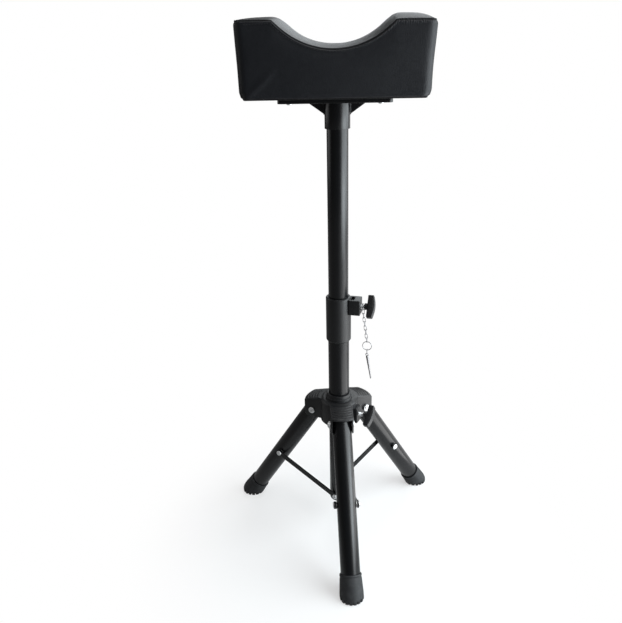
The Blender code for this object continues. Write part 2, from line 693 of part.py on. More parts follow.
def cushion_grid(inset, top_gap, bottom, open_below=False):
    """The closed saddle form as a grid of points on the six sides of a block."""
    across = cushion_shares()
    along = [2 * step / DEPTH_STEPS - 1 for step in range(DEPTH_STEPS + 1)]
    up = [step / HEIGHT_STEPS for step in range(HEIGHT_STEPS + 1)]
    bm = bmesh.new()
    verts = {}

    def vert(i, j, k):
        if (i, j, k) not in verts:
            point = cushion_point(across[i], along[j], up[k], inset, top_gap, bottom)
            verts[i, j, k] = bm.verts.new(point)
        return verts[i, j, k]

    last_i, last_j, last_k = len(across) - 1, len(along) - 1, len(up) - 1
    for i in range(last_i):
        for j in range(last_j):
            for k in (0, last_k):
                folded = min(i, last_i - 1 - i) < WRAP_CELLS[0] or min(j, last_j - 1 - j) < WRAP_CELLS[1]
                if k == 0 and open_below and not folded:
                    continue
                bm.faces.new([vert(i, j, k), vert(i + 1, j, k), vert(i + 1, j + 1, k), vert(i, j + 1, k)])
        for k in range(last_k):
            for j in (0, last_j):
                bm.faces.new([vert(i, j, k), vert(i + 1, j, k), vert(i + 1, j, k + 1), vert(i, j, k + 1)])
    for j in range(last_j):
        for k in range(last_k):
            for i in (0, last_i):
                bm.faces.new([vert(i, j, k), vert(i, j + 1, k), vert(i, j + 1, k + 1), vert(i, j, k + 1)])
    bmesh.ops.recalc_face_normals(bm, faces=bm.faces)
    return bm


def lobe_outline():
    """Side view of a lobe as (reach, height) from the column's axis and the pivots."""
    edge = HUB_RISE - LOBE_DROP
    start = (SLIDE_BORE + SLOT_START) / 2
    return [
        (start, HUB_RISE),
        (HUB_CORE_RADIUS - LOBE_EDGE, HUB_RISE),
        (LOBE_REACH - LOBE_EDGE, edge),
        (LOBE_REACH, edge - LOBE_EDGE),
        (LOBE_REACH, CHEEK_CORNER - CHEEK_DEPTH),
        (LOBE_REACH - CHEEK_CORNER, -CHEEK_DEPTH),
        (start, -CHEEK_DEPTH),
    ]


def lobe_top(reach):
    """Height of a lobe's sloping top at a reach from the column's axis."""
    start = HUB_CORE_RADIUS - LOBE_EDGE
    return HUB_RISE - LOBE_DROP * (reach - start) / (LOBE_REACH - LOBE_EDGE - start)


def leg_slot_outline():
    """Side view of the space for a leg under a lobe's roof and behind its lip."""
    inside = LOBE_REACH - LOBE_EDGE
    start = SLOT_START - LOBE_BULGE
    return [
        (start, -HUB_SKIRT - TOOL_REACH),
        (start, HUB_RISE - HUB_ROOF),
        (HUB_CORE_RADIUS - LOBE_EDGE, HUB_RISE - HUB_ROOF),
        (inside, lobe_top(inside) - HUB_ROOF),
        (inside, LOBE_LIP),
        (LOBE_REACH + TOOL_REACH, LOBE_LIP),
        (LOBE_REACH + TOOL_REACH, -HUB_SKIRT - TOOL_REACH),
    ]


def rib_outline(number):
    """Side view of one raised rib across a lobe's top."""
    low = RIB_START + number * RIB_PITCH
    points = []
    for share, lift in ((0.0, -1.5), (1.0, -1.5), (1.0, 0.3), (0.75, 1.0), (0.25, 1.0), (0.0, 0.3)):
        reach = low + share * RIB_WIDTH
        points.append((reach, lobe_top(reach) + lift * RIB_HEIGHT))
    return points


def hub(materials, holder):
    """The moulded hub: a ringed core with three clevis lobes, and its lock."""
    ring_top = HUB_RISE + HUB_RING_STEP * len(HUB_RING_RADII)
    profile = [(SLIDE_BORE, ring_top)]
    for step, radius in reversed(list(enumerate(HUB_RING_RADII))):
        level = HUB_RISE + HUB_RING_STEP * step
        profile.append((radius, level + HUB_RING_STEP))
        profile.append((radius, level + WELD))
    profile += [
        (HUB_CORE_RADIUS - 2 * LOBE_EDGE, HUB_RISE + WELD),
        (HUB_CORE_RADIUS, HUB_RISE - LOBE_EDGE),
        (HUB_CORE_RADIUS, -HUB_SKIRT + LOBE_EDGE),
        (HUB_CORE_RADIUS - LOBE_EDGE, -HUB_SKIRT),
        (SLIDE_BORE, -HUB_SKIRT),
    ]
    body = piece("hub", turned(profile, TUBE_SIDES, ring=True), materials["plastic"], holder)
    for angle in LEG_TURNS.values():
        join(body, bulged(lobe_outline(), CHEEK_OUTSIDE), rotation=(0, 0, angle))
    boss_low = (SLOT_START, -HUB_LOCK_BOSS_WIDTH / 2, -HUB_LOCK_BOSS_DROP)
    boss = block(boss_low, (HUB_LOCK_BOSS_REACH, HUB_LOCK_BOSS_WIDTH / 2, HUB_LOCK_BOSS_TOP))
    lock = {"location": (0, 0, HUB_LOCK_RISE), "rotation": (0, 0, HUB_LOCK_TURN - math.pi / 2)}
    join(body, boss, rotation=lock["rotation"])
    around = [Matrix.Rotation(angle, 4, "Z") for angle in LEG_TURNS.values()]
    ribs = []
    for turn in around:
        ribs += [moved(bulged(rib_outline(number), CHEEK_INSIDE), turn) for number in range(RIB_COUNT)]
    join(body, together(ribs))
    slots = [bulged(leg_slot_outline(), CHEEK_INSIDE) for _ in around]
    cut(body, together([moved(shape, turn) for shape, turn in zip(slots, around)]))
    pivots = []
    for turn in around:
        hole = along_x(rod(PIVOT_RADIUS + FIT_GAP, -2 * CHEEK_OUTSIDE, 2 * CHEEK_OUTSIDE))
        pivots.append(moved(hole, turn @ Matrix.Translation((0, -LEG_PIVOT_RADIUS, 0))))
    cut(body, together(pivots))
    nut_space = NUT_RADIUS + FIT_GAP
    slot_low = (HUB_NUT_START, -nut_space, -HUB_SKIRT - TOOL_REACH)
    slot_high = (HUB_NUT_START + NUT_THICKNESS + 2 * FIT_GAP, nut_space, HUB_LOCK_RISE + nut_space)
    cut(body, block(slot_low, slot_high), rotation=lock["rotation"])
    cut(body, along_x(rod(LOCK_SCREW_RADIUS + FIT_GAP, 0, HUB_LOCK_BOSS_REACH + TOOL_REACH)), **lock)

    lock_axis = empty("hub_lock_axis", holder, lock["location"], lock["rotation"])
    nut_low = HUB_NUT_START + FIT_GAP
    nut = along_x(hex_nut(NUT_RADIUS, LOCK_SCREW_RADIUS, nut_low, nut_low + NUT_THICKNESS))
    piece("hub_nut", nut, materials["zinc"], lock_axis)
    turning = empty("hub_lock_turn", lock_axis, rotation=(HUB_KNOB_TURN, 0, 0))
    knob_and_screw("hub_lock", turning, SLIDE_BORE, HUB_LOCK_BOSS_REACH, HUB_SCREW_SHOWN, materials)
    for name, turn in zip(LEG_TURNS, around):
        seat = CHEEK_OUTSIDE + FIT_GAP
        length = 2 * seat + PIVOT_NUT + BOLT_TAIL
        place = turn @ Matrix.Translation((0, -LEG_PIVOT_RADIUS, 0))
        shape = along_x(bolt(PIVOT_HEAD_RADIUS, PIVOT_HEAD, PIVOT_RADIUS, length))
        shape = moved(shape, place @ Matrix.Translation((seat, 0, 0)))
        piece("leg_pivot_bolt_" + name, shape, materials["zinc"], holder)
        nut = along_x(hex_nut(PIVOT_NUT_RADIUS, PIVOT_RADIUS, -seat - PIVOT_NUT, -seat))
        piece("leg_pivot_nut_" + name, moved(nut, place), materials["zinc"], holder)


def foot_profile():
    """Section of a rubber boot: (radius, height along the leg from the floor), out and in."""
    bore = LEG_RADIUS + FIT_GAP
    return [
        (0, -FOOT_UNDER),
        (FOOT_RADIUS * 0.47, -FOOT_UNDER * 0.97),
        (FOOT_RADIUS * 0.70, -FOOT_UNDER * 0.83),
        (FOOT_RADIUS * 0.86, -FOOT_UNDER * 0.62),
        (FOOT_RADIUS * 0.95, -FOOT_UNDER * 0.34),
        (FOOT_RADIUS, 0.0),
        (FOOT_RADIUS, FOOT_BULGE_HEIGHT),
        (FOOT_TOP_RADIUS, FOOT_HEIGHT),
        (bore, FOOT_HEIGHT),
        (bore, LEG_END - FIT_GAP),
        (0, LEG_END - FIT_GAP),
    ]


def leg(name, angle, materials, hub_holder, stand):
    """One leg on its pivot: tube, boot, and the leg's side of the strut bolt."""
    pivot = Vector((math.sin(angle), -math.cos(angle), 0)) * LEG_PIVOT_RADIUS
    holder = empty("leg_pivot_" + name, hub_holder, pivot, (-LEG_SPREAD, 0, angle))
    shape = tube(LEG_RADIUS, LEG_RADIUS - LEG_WALL, LEG_END - LEG_LENGTH, LEG_TOP)
    leg_tube = piece("leg_tube_" + name, shape, materials["steel"], holder)
    pivot_hole = along_x(rod(PIVOT_RADIUS + FIT_GAP, -2 * LEG_RADIUS, 2 * LEG_RADIUS))
    strut_hole = along_x(rod(STRUT_BOLT_RADIUS + FIT_GAP, -2 * LEG_RADIUS, 2 * LEG_RADIUS))
    on_leg = Matrix.Translation((0, 0, -STRUT_ON_LEG))
    cut(leg_tube, together([pivot_hole, moved(strut_hole, on_leg)]))

    boot = moved(turned(foot_profile(), TUBE_SIDES), Matrix.Translation((0, 0, -LEG_LENGTH)))
    sole = bmesh.ops.bisect_plane(
        boot,
        geom=boot.verts[:] + boot.edges[:] + boot.faces[:],
        plane_co=(0, 0, -LEG_LENGTH),
        plane_no=(0, math.sin(LEG_SPREAD), -math.cos(LEG_SPREAD)),
        clear_outer=True,
    )
    rim = [part for part in sole["geom_cut"] if isinstance(part, bmesh.types.BMEdge)]
    bmesh.ops.holes_fill(boot, edges=rim)
    bmesh.ops.recalc_face_normals(boot, faces=boot.faces)
    foot = piece("leg_foot_" + name, boot, materials["rubber"], holder)
    reach = LEG_PIVOT_RADIUS + LEG_LENGTH * math.sin(LEG_SPREAD)
    centre = Vector((math.sin(angle), -math.cos(angle), 0)) * reach
    notches = []
    for number in range(FOOT_NOTCHES):
        low = (FOOT_NOTCH_START, -FOOT_NOTCH_WIDTH / 2, -TOOL_REACH)
        high = (FOOT_NOTCH_START + TOOL_REACH, FOOT_NOTCH_WIDTH / 2, FOOT_NOTCH_HEIGHT)
        turn = Matrix.Rotation(math.tau * number / FOOT_NOTCHES, 4, "Z")
        notches.append(moved(block(low, high), turn))
    cut(foot, together(notches), parent=stand, location=centre, rotation=(0, 0, angle))

    seat = LEG_RADIUS + FIT_GAP
    end = seat + STRUT_NUT + BOLT_TAIL
    profile = [
        (0, STRUT_PLANE - FIT_GAP),
        (STRUT_WASHER_RADIUS, STRUT_PLANE - FIT_GAP),
        (STRUT_WASHER_RADIUS, seat),
        (STRUT_BOLT_RADIUS, seat),
        (STRUT_BOLT_RADIUS, -end),
        (0, -end),
    ]
    piece("leg_cross_bolt_" + name, moved(along_x(turned(profile, BOLT_SIDES)), on_leg), materials["zinc"], holder)
    nut = along_x(hex_nut(STRUT_NUT_RADIUS, STRUT_BOLT_RADIUS, -seat - STRUT_NUT, -seat))
    piece("leg_cross_nut_" + name, moved(nut, on_leg), materials["black"], holder)


def strut(name, angle, materials, root):
    """One flat spreader bar on the lower tube's end, with its bolt to the leg."""
    holder = empty("strut_pivot_" + name, root, (0, 0, STRUT_BASE_LEVEL), (STRUT_SLOPE, 0, angle))
    outline = slot_outline(STRUT_LENGTH + STRUT_WIDTH, STRUT_WIDTH)
    across = Matrix(((0, 0, 1, 0), (1, 0, 0, 0), (0, 1, 0, STRUT_LENGTH / 2), (0, 0, 0, 1)))
    shape = moved(prism(outline, STRUT_PLANE, STRUT_OUTSIDE), across)
    bar = piece("strut_" + name, shape, materials["steel"], holder)
    holes = []
    for height in (0.0, STRUT_LENGTH):
        hole = along_x(rod(STRUT_BOLT_RADIUS + FIT_GAP, STRUT_PLANE - TOOL_REACH, STRUT_OUTSIDE + TOOL_REACH))
        holes.append(moved(hole, Matrix.Translation((0, 0, height))))
    cut(bar, together(holes))
    seat = STRUT_OUTSIDE + FIT_GAP
    shape = along_x(bolt(STRUT_HEAD_RADIUS, STRUT_HEAD, STRUT_BOLT_RADIUS, seat - STRUT_PLANE))
    shape = moved(shape, Matrix.Translation((seat, 0, STRUT_LENGTH)))
    piece("strut_bolt_" + name, shape, materials["zinc"], holder)


def tether(materials, clamp):
    """The chain on the clamp screw, and the ring with the height pin at its end."""
    reach = BOSS_REACH + CLAMP_SCREW_SHOWN / 2
    swing = empty("chain_swing", clamp, (reach, 0, 0), (CHAIN_SWAY, 0, 0))
    upright = Matrix.Rotation(math.pi / 2, 4, "X")
    across = Matrix.Rotation(math.pi / 2, 4, "Z") @ upright
    loop_drop = LOOP_RADIUS - LOOP_WIRE / 2 - LOCK_SCREW_RADIUS - FIT_GAP
    loop_place = Matrix.Translation((0, 0, -loop_drop)) @ across
    closed_wire("tether_loop", circle_outline(LOOP_RADIUS, 18), LOOP_WIRE, materials["bright"], swing, loop_place)
    lean = Matrix.Rotation(-CHAIN_LEAN, 4, "Y")
    pitch = LINK_LENGTH - LINK_WIRE - FIT_GAP
    first = -loop_drop - LOOP_RADIUS + LOOP_WIRE / 2 + LINK_WIRE / 2 + FIT_GAP
    hang = Matrix.Translation((0, 0, first)) @ lean
    for number in range(LINK_COUNT):
        facing = upright if number % 2 == 0 else across
        drop = Matrix.Translation((0, 0, -LINK_LENGTH / 2 - number * pitch))
        outline = slot_outline(LINK_LENGTH, LINK_WIDTH, sides=6)
        name = f"chain_link_{number + 1}"
        closed_wire(name, outline, LINK_WIRE, materials["bright"], swing, hang @ drop @ facing)
    end = hang @ Vector((0, 0, -LINK_LENGTH - (LINK_COUNT - 1) * pitch))
    rise = LINK_WIRE / 2 + RING_WIRE / 2 + FIT_GAP
    pin = empty("pin_swing", swing, end + Vector((0, 0, rise)), (-CHAIN_SWAY, 0, 0))
    ring_place = Matrix.Translation((0, 0, -RING_RADIUS)) @ upright
    closed_wire("pin_ring", circle_outline(RING_RADIUS, 24), RING_WIRE, materials["bright"], pin, ring_place)
    link_top = -2 * RING_RADIUS + RING_WIRE / 2 + LINK_WIRE / 2 + FIT_GAP
    link_place = Matrix.Translation((0, 0, link_top - LINK_LENGTH / 2)) @ across
    outline = slot_outline(LINK_LENGTH, LINK_WIDTH, sides=6)
    closed_wire("pin_link", outline, LINK_WIRE, materials["bright"], pin, link_place)
    eye_centre = link_top - LINK_LENGTH + LINK_WIRE / 2 + EYE_WIRE / 2 + FIT_GAP - EYE_RADIUS
    neck = -EYE_RADIUS - EYE_WIRE / 2 + WELD
    profile = [(0, neck), (PIN_TOP_RADIUS, neck - WELD), (PIN_TIP_RADIUS, -PIN_LENGTH), (0, -PIN_LENGTH - PIN_TIP_RADIUS)]
    place = Matrix.Translation((0, 0, eye_centre)) @ Matrix.Rotation(-PIN_LEAN, 4, "Y")
    taper = piece("locking_pin", moved(turned(profile, BOLT_SIDES), place), materials["bright"], pin)
    section = [
        (EYE_RADIUS + EYE_WIRE / 2 * math.cos(angle), EYE_WIRE / 2 * math.sin(angle))
        for angle in [math.tau * step / 6 for step in range(6)]
    ]
    join(taper, moved(turned(section, BOLT_SIDES, ring=True), place @ upright))


def centre_on_floor(stand):
    """Moves the stand so that its box stands centred over the origin, on z = 0."""
    bpy.context.view_layer.update()
    graph = bpy.context.evaluated_depsgraph_get()
    low = Vector((math.inf,) * 3)
    high = Vector((-math.inf,) * 3)
    for obj in bpy.context.scene.objects:
        if obj.type == "EMPTY" or obj.hide_render:
            continue
        shown = obj.evaluated_get(graph)
        mesh = shown.to_mesh()
        for vertex in mesh.vertices:
            point = shown.matrix_world @ vertex.co
            low = Vector(map(min, low, point))
            high = Vector(map(max, high, point))
        shown.to_mesh_clear()
    stand.location = (-(low.x + high.x) / 2, -(low.y + high.y) / 2, -low.z)


def main():
    """Builds the stand, group by group, each on its own axis."""
    remove_old_objects()
    materials = {
        "steel": finish("satin_black_steel", (0.016, 0.017, 0.018), 0.36, 0.0),
        "plastic": finish("black_moulding", (0.014, 0.015, 0.016), 0.48, 0.0),
        "leather": finish("black_leatherette", (0.012, 0.012, 0.014), 0.42, 0.0),
        "rubber": finish("dark_rubber", (0.035, 0.037, 0.039), 0.7, 0.0),
        "black": finish("black_nut", (0.015, 0.015, 0.016), 0.5, 0.0),
        "zinc": finish("zinc_plate", (0.62, 0.63, 0.64), 0.3, 1.0),
        "bright": finish("bright_steel", (0.66, 0.66, 0.67), 0.2, 1.0),
        "plywood": finish("plywood", (0.52, 0.38, 0.22), 0.7, 0.0),
        "foam": finish("foam", (0.82, 0.78, 0.62), 0.9, 0.0),
    }
    stand = empty("stand")
    clamp = column(materials, stand)
    turning = empty("clamp_turn", clamp, rotation=(CLAMP_KNOB_TURN, 0, 0))
    knob_and_screw("clamp", turning, clamp_screw_tip(), BOSS_REACH, CLAMP_SCREW_SHOWN, materials)
    tether(materials, clamp)
    sliding = empty("mast_slide", stand)
    mast(materials, sliding)
    head(materials, empty("head_turn", sliding, rotation=(0, 0, HEAD_TURN)))
    hub_holder = empty("hub_slide", stand, (0, 0, PIVOT_LEVEL))
    hub(materials, hub_holder)
    for name, angle in LEG_TURNS.items():
        leg(name, angle, materials, hub_holder, stand)
        strut(name, angle, materials, stand)
    centre_on_floor(stand)


main()
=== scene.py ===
"""Dresses the leg rest stand: fine surfaces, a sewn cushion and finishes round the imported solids.

Metres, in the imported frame: +Z up, the front leg along -Y. A shape is a pair of points and faces,
worked out as whole arrays and put in place by a 4 x 4 matrix.
"""

import math

import bmesh
import bpy
import numpy as np
from mathutils import Matrix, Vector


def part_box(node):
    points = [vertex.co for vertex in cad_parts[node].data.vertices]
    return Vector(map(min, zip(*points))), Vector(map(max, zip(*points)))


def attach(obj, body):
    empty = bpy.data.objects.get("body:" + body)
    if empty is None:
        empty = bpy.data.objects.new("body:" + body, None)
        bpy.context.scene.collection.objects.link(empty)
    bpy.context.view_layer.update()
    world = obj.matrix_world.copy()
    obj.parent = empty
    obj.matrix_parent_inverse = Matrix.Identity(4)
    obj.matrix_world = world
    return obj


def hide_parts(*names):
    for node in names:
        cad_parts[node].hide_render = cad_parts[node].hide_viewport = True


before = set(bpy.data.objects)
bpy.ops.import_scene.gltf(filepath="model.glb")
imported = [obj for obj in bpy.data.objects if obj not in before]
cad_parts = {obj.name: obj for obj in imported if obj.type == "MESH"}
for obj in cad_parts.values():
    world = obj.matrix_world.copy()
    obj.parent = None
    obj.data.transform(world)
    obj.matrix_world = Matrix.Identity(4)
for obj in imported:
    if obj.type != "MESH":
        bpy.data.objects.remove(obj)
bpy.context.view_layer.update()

# Camera, fitted to the photograph: lengths from the column's foot
CAMERA_OFFSET = (-0.0048, -1.0410, 0.9006)
CAMERA_PITCH = math.radians(22.964)
CAMERA_ROLL = math.radians(1.386)
CAMERA_YAW = math.radians(-2.434)
TRIPOD_TURN = math.radians(5.393)
FOCAL_PIXELS = 633.8
PICTURE_WIDTH = 622
SENSOR_WIDTH = 36.0

# Clearances and facets
FIT_GAP = 0.0003
OVERLAP = 0.0006            # of shapes that make one piece
PAST = 0.01                 # of cutters, beyond the faces they open
THROUGH = 0.04              # half the length of cutters that go right through
SMOOTH_ANGLE = math.radians(32)
MERGE_DISTANCE = 2e-6
TUBE_SIDES = 96
SCREW_SIDES = 24

# Column
UPPER_RADIUS = 0.0175
UPPER_WALL = 0.0015
LOWER_RADIUS = 0.0190
COLUMN_BORE = 0.0178
COLUMN_LOW = 0.057
COLUMN_TOP = 0.485
MAST_LOW = 0.3675
MAST_TOP = 0.8172
PIN_HOLE_RADIUS = 0.0033
PIN_HOLE_LEVELS = 0.438 + 0.040 * np.arange(7)
PLUG_LENGTH = 0.020
PLUG_FLANGE = 0.003

# Clamp sleeve, boss and nut
SLEEVE_RADIUS = 0.0223
SLEEVE_BORE = 0.0193
SLEEVE_LOW = 0.404
SLEEVE_TOP = 0.4883
SLEEVE_CHAMFER = 0.0015
SLEEVE_TAPER = 0.0025
BOSS_START = 0.0199
BOSS_REACH = 0.0405
BOSS_WIDTH = 0.025
BOSS_LOW = 0.4584
BOSS_TOP = 0.4861
CLAMP_LEVEL = 0.47225
CLAMP_TURN = math.radians(-18)
CLAMP_KNOB_TURN = math.radians(-38)
NUT_RADIUS = 0.0075
NUT_THICKNESS = 0.0065
CLAMP_NUT_START = 0.0231
HUB_NUT_START = 0.0301

# Lock screws and wing knobs
LOCK_SCREW_RADIUS = 0.004
THREAD_PITCH = 0.00125
THREAD_DEPTH = 0.0005
CLAMP_NECK = 0.047
HUB_NECK = 0.051
NECK_RADIUS = 0.006
NECK_LENGTH = 0.005
KNOB_LENGTH = 0.0405
KNOB_WIDTH = 0.013
KNOB_THICKNESS = 0.010
KNOB_BOW = 0.0035
SCREW_IN_KNOB = 0.009

# Chain, ring and height pin
CHAIN_REACH = 0.04375
CHAIN_SWAY = math.radians(8.5)
CHAIN_LEAN = math.radians(5.5)
LOOP_RADIUS = 0.0062
LOOP_WIRE = 0.0014
LOOP_DROP = 0.0012
LINK_COUNT = 8
LINK_LENGTH = 0.0101
LINK_WIDTH = 0.0044
LINK_WIRE = 0.0012
RING_RADIUS = 0.0083
RING_WIRE = 0.0013
EYE_RADIUS = 0.0024
EYE_WIRE = 0.0013
PIN_LENGTH = 0.0488
PIN_TOP_RADIUS = 0.0026
PIN_TIP_RADIUS = 0.0012
PIN_LEAN = math.radians(9)

# Hub, from the leg pivots' level and the column's axis
LEG_SPREAD = math.radians(32.3)
LEG_LENGTH = 0.3005
PIVOT_LEVEL = LEG_LENGTH * math.cos(LEG_SPREAD)
PIVOT_REACH = 0.048
CORE_RADIUS = 0.035
SKIRT = 0.018
RISE = 0.030
ROOF = 0.0031
LOBE_REACH = 0.063
LOBE_DROP = 0.0087
LOBE_EDGE = 0.0025
LOBE_LIP = 0.017
LOBE_BULGE = 0.0045
CHEEK_INSIDE = 0.0180
CHEEK_OUTSIDE = 0.0205
CHEEK_DEPTH = 0.0135
CHEEK_CORNER = 0.0035
SLOT_START = 0.0245
RING_STEP = 0.006
RING_RADII = (0.0250, 0.0230)
RIB_STARTS = 0.0335 + 0.0055 * np.arange(5)
RIB_WIDTH = 0.0028
RIB_HEIGHT = 0.0010
HUB_LOCK_TURN = math.radians(-30)
HUB_KNOB_TURN = math.radians(-52)
HUB_LOCK_RISE = 0.003
HUB_BOSS_WIDTH = 0.019
HUB_BOSS_REACH = 0.041
HUB_BOSS_TOP = 0.017
HUB_BOSS_DROP = 0.013

# Legs, boots and struts
LEG_TURNS = {"front": 0.0, "right": math.radians(120), "left": math.radians(-120)}
LEG_RADIUS = 0.0175
LEG_WALL = 0.0015
LEG_TOP = 0.010
LEG_END = 0.014
PIVOT_BOLT_RADIUS = 0.004
PIVOT_HEAD_RADIUS = 0.0062
PIVOT_HEAD = 0.0028
PIVOT_SOCKET = 0.0023
PIVOT_NUT = 0.004
PIVOT_NUT_RADIUS = 0.0072
BOOT_HEIGHT = 0.040
BOOT_TOP_RADIUS = 0.0193
BOOT_RADIUS = 0.0214
BOOT_BULGE = 0.008
BOOT_UNDER = 0.0145
BOOT_NOTCHES = 16
BOOT_NOTCH_WIDTH = 0.0022
BOOT_NOTCH_HEIGHT = 0.006
BOOT_NOTCH_START = 0.0175
STRUT_BASE = 0.066
STRUT_LENGTH = 0.141367
STRUT_SLOPE = math.radians(61.65)
STRUT_WIDTH = 0.010
STRUT_INSIDE = 0.0193
STRUT_OUTSIDE = 0.0218
STRUT_ON_LEG = 0.143
STRUT_BOLT_RADIUS = 0.003
STRUT_HEAD_RADIUS = 0.005
STRUT_HEAD = 0.0028
STRUT_SOCKET = 0.0017
WASHER_RADIUS = 0.006
CROSS_NUT = 0.005
CROSS_NUT_RADIUS = 0.0066
RIVET_RADIUS = 0.0054
STRUT_EYE_RADIUS = 0.0072
BOLT_TAIL = 0.0015
BASE_BOLT_DEPTH = 0.008

# Head bracket
HEAD_TURN = math.radians(-7.4)
HEAD_SHIFT = -0.002
COLLAR_RADIUS = 0.0204
COLLAR_LOW = 0.7748
PLATE_LOW = 0.8175
PLATE_TOP = 0.8240
PLATE_WIDTH = 0.172
PLATE_DEPTH = 0.120
PLATE_CORNER = 0.006
GUSSET_REACH = 0.049
GUSSET_DROP = 0.0215
GUSSET_THICKNESS = 0.004
COLLAR_BEAD = 0.0016
PLATE_BEAD = 0.0012
GUSSET_BEAD = 0.0011
CUSHION_SCREW_PLACE = (0.069, 0.043)
CUSHION_SCREW_RADIUS = 0.0022
CUSHION_SCREW_LENGTH = 0.014
CUSHION_SCREW_HEAD_RADIUS = 0.0045
CUSHION_SCREW_HEAD = 0.0024
CUSHION_SCREW_SOCKET = 0.0014

# Cushion
CUSHION_LOW = 0.8243
CUSHION_WIDTH = 0.2832
CUSHION_BASE_WIDTH = 0.2800
CUSHION_DEPTH = 0.160
CUSHION_HEIGHT = 0.1057
SADDLE_WIDTH = 0.174
SADDLE_DEPTH = 0.0375
SADDLE_RADIUS = (SADDLE_WIDTH**2 / 4 + SADDLE_DEPTH**2) / (2 * SADDLE_DEPTH)
CUSHION_CROWN = 0.0088
CROWN_LEFT_OUT = 0.0020     # off the crown, since the cloth swells above it
SEAM_TILT = 0.0022          # top seam's fall at the right side and rise at the left
CROWN_TILT = 0.0031         # crown's rise at the right side and fall at the left
SHOULDER_CROWN = 0.0017     # more crown on the shoulders
FLARES = (0.0012, 0.0030)   # top corners' reach beyond the sides, left and right
BASE_DRAW = 0.003           # sides drawn in at the bottom
CUSHION_BULGE = 0.003
CUSHION_WAIST = 0.002
PLAN_CORNER = 0.013
SHOULDER_CORNER = 0.007
SEAM_CORNER = 0.0022
BASE_CORNER = 0.004
COVER_THICKNESS = 0.0012
WRAP = 0.025                # cover folded under the board
HEM = 0.0018                # turn of the cover at its lower edge, darkened by painted shade
CLOTH_CAP = 0.003           # furthest that the cloth may swell
CLOTH_FRAMES = 20
SEAM_SET_BACK = 0.0072      # seam on the cushion's sides, behind the front
SEAM_DEPTH = 0.0016
SEAM_WIDTH = 0.0011
SEAM_ROLLS = ((-0.0024, 0.0012, 0.0007), (0.0030, 0.0016, 0.0004))  # place, width and height
CREASE_START = (-0.126, 0.8300)
CREASE_STOP = (-0.080, 0.8690)
CREASE_HEIGHT = 0.0011
SLACK = 0.00025             # height of the panels' faint waves
STITCH_PITCH = 0.0042
STITCH_LENGTH = 0.0030
STITCH_RADIUS = 0.00035
STITCH_DROP = 0.0036        # stitches below the top seam
STAPLE_REACH = 0.005
STAPLE_RADIUS = 0.00035
BOARD_LOW = 0.8258
BOARD_THICKNESS = 0.009
FOAM_GAP = 0.0030           # foam's top below the cover's
FOAM_SIDE_GAP = 0.0006
FOAM_CROWN = CUSHION_CROWN - 0.0026

# Light
DAYLIGHT = (0.88, 0.96, 1.0)
TO_WINDOW = (0.95, 0.15, 0.20)  # way to the world's bright side
FLOOR_RADIUS = 3.0


def column_foot():
    """The point of the floor under the column's axis."""
    low, high = (np.array(corner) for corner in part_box("lower_tube"))
    foot = (low + high) / 2
    foot[2] = 0.0
    return foot


def shift(x=0.0, y=0.0, z=0.0):
    """A move."""
    return np.array(Matrix.Translation((x, y, z)))


def turn(axis, angle):
    """A turn about one main axis."""
    return np.array(Matrix.Rotation(angle, 4, axis))


# Frames of the stand's groups
ALONG_X = turn("Y", math.pi / 2)
UPRIGHT = turn("X", math.pi / 2)
COLUMN = shift(*column_foot())
CLAMP = COLUMN @ shift(z=CLAMP_LEVEL) @ turn("Z", CLAMP_TURN)
HUB = COLUMN @ shift(z=PIVOT_LEVEL)
HUB_LOCK = HUB @ shift(z=HUB_LOCK_RISE) @ turn("Z", HUB_LOCK_TURN)
HEAD = COLUMN @ turn("Z", HEAD_TURN)
PIVOTS = {name: HUB @ turn("Z", angle) @ shift(y=-PIVOT_REACH) for name, angle in LEG_TURNS.items()}
LEGS = {name: pivot @ turn("X", -LEG_SPREAD) for name, pivot in PIVOTS.items()}
STRUT_BASES = {name: COLUMN @ shift(z=STRUT_BASE) @ turn("Z", angle) for name, angle in LEG_TURNS.items()}
STRUTS = {name: base @ turn("X", STRUT_SLOPE) for name, base in STRUT_BASES.items()}


# ---------------------------------------------------------------- finishes


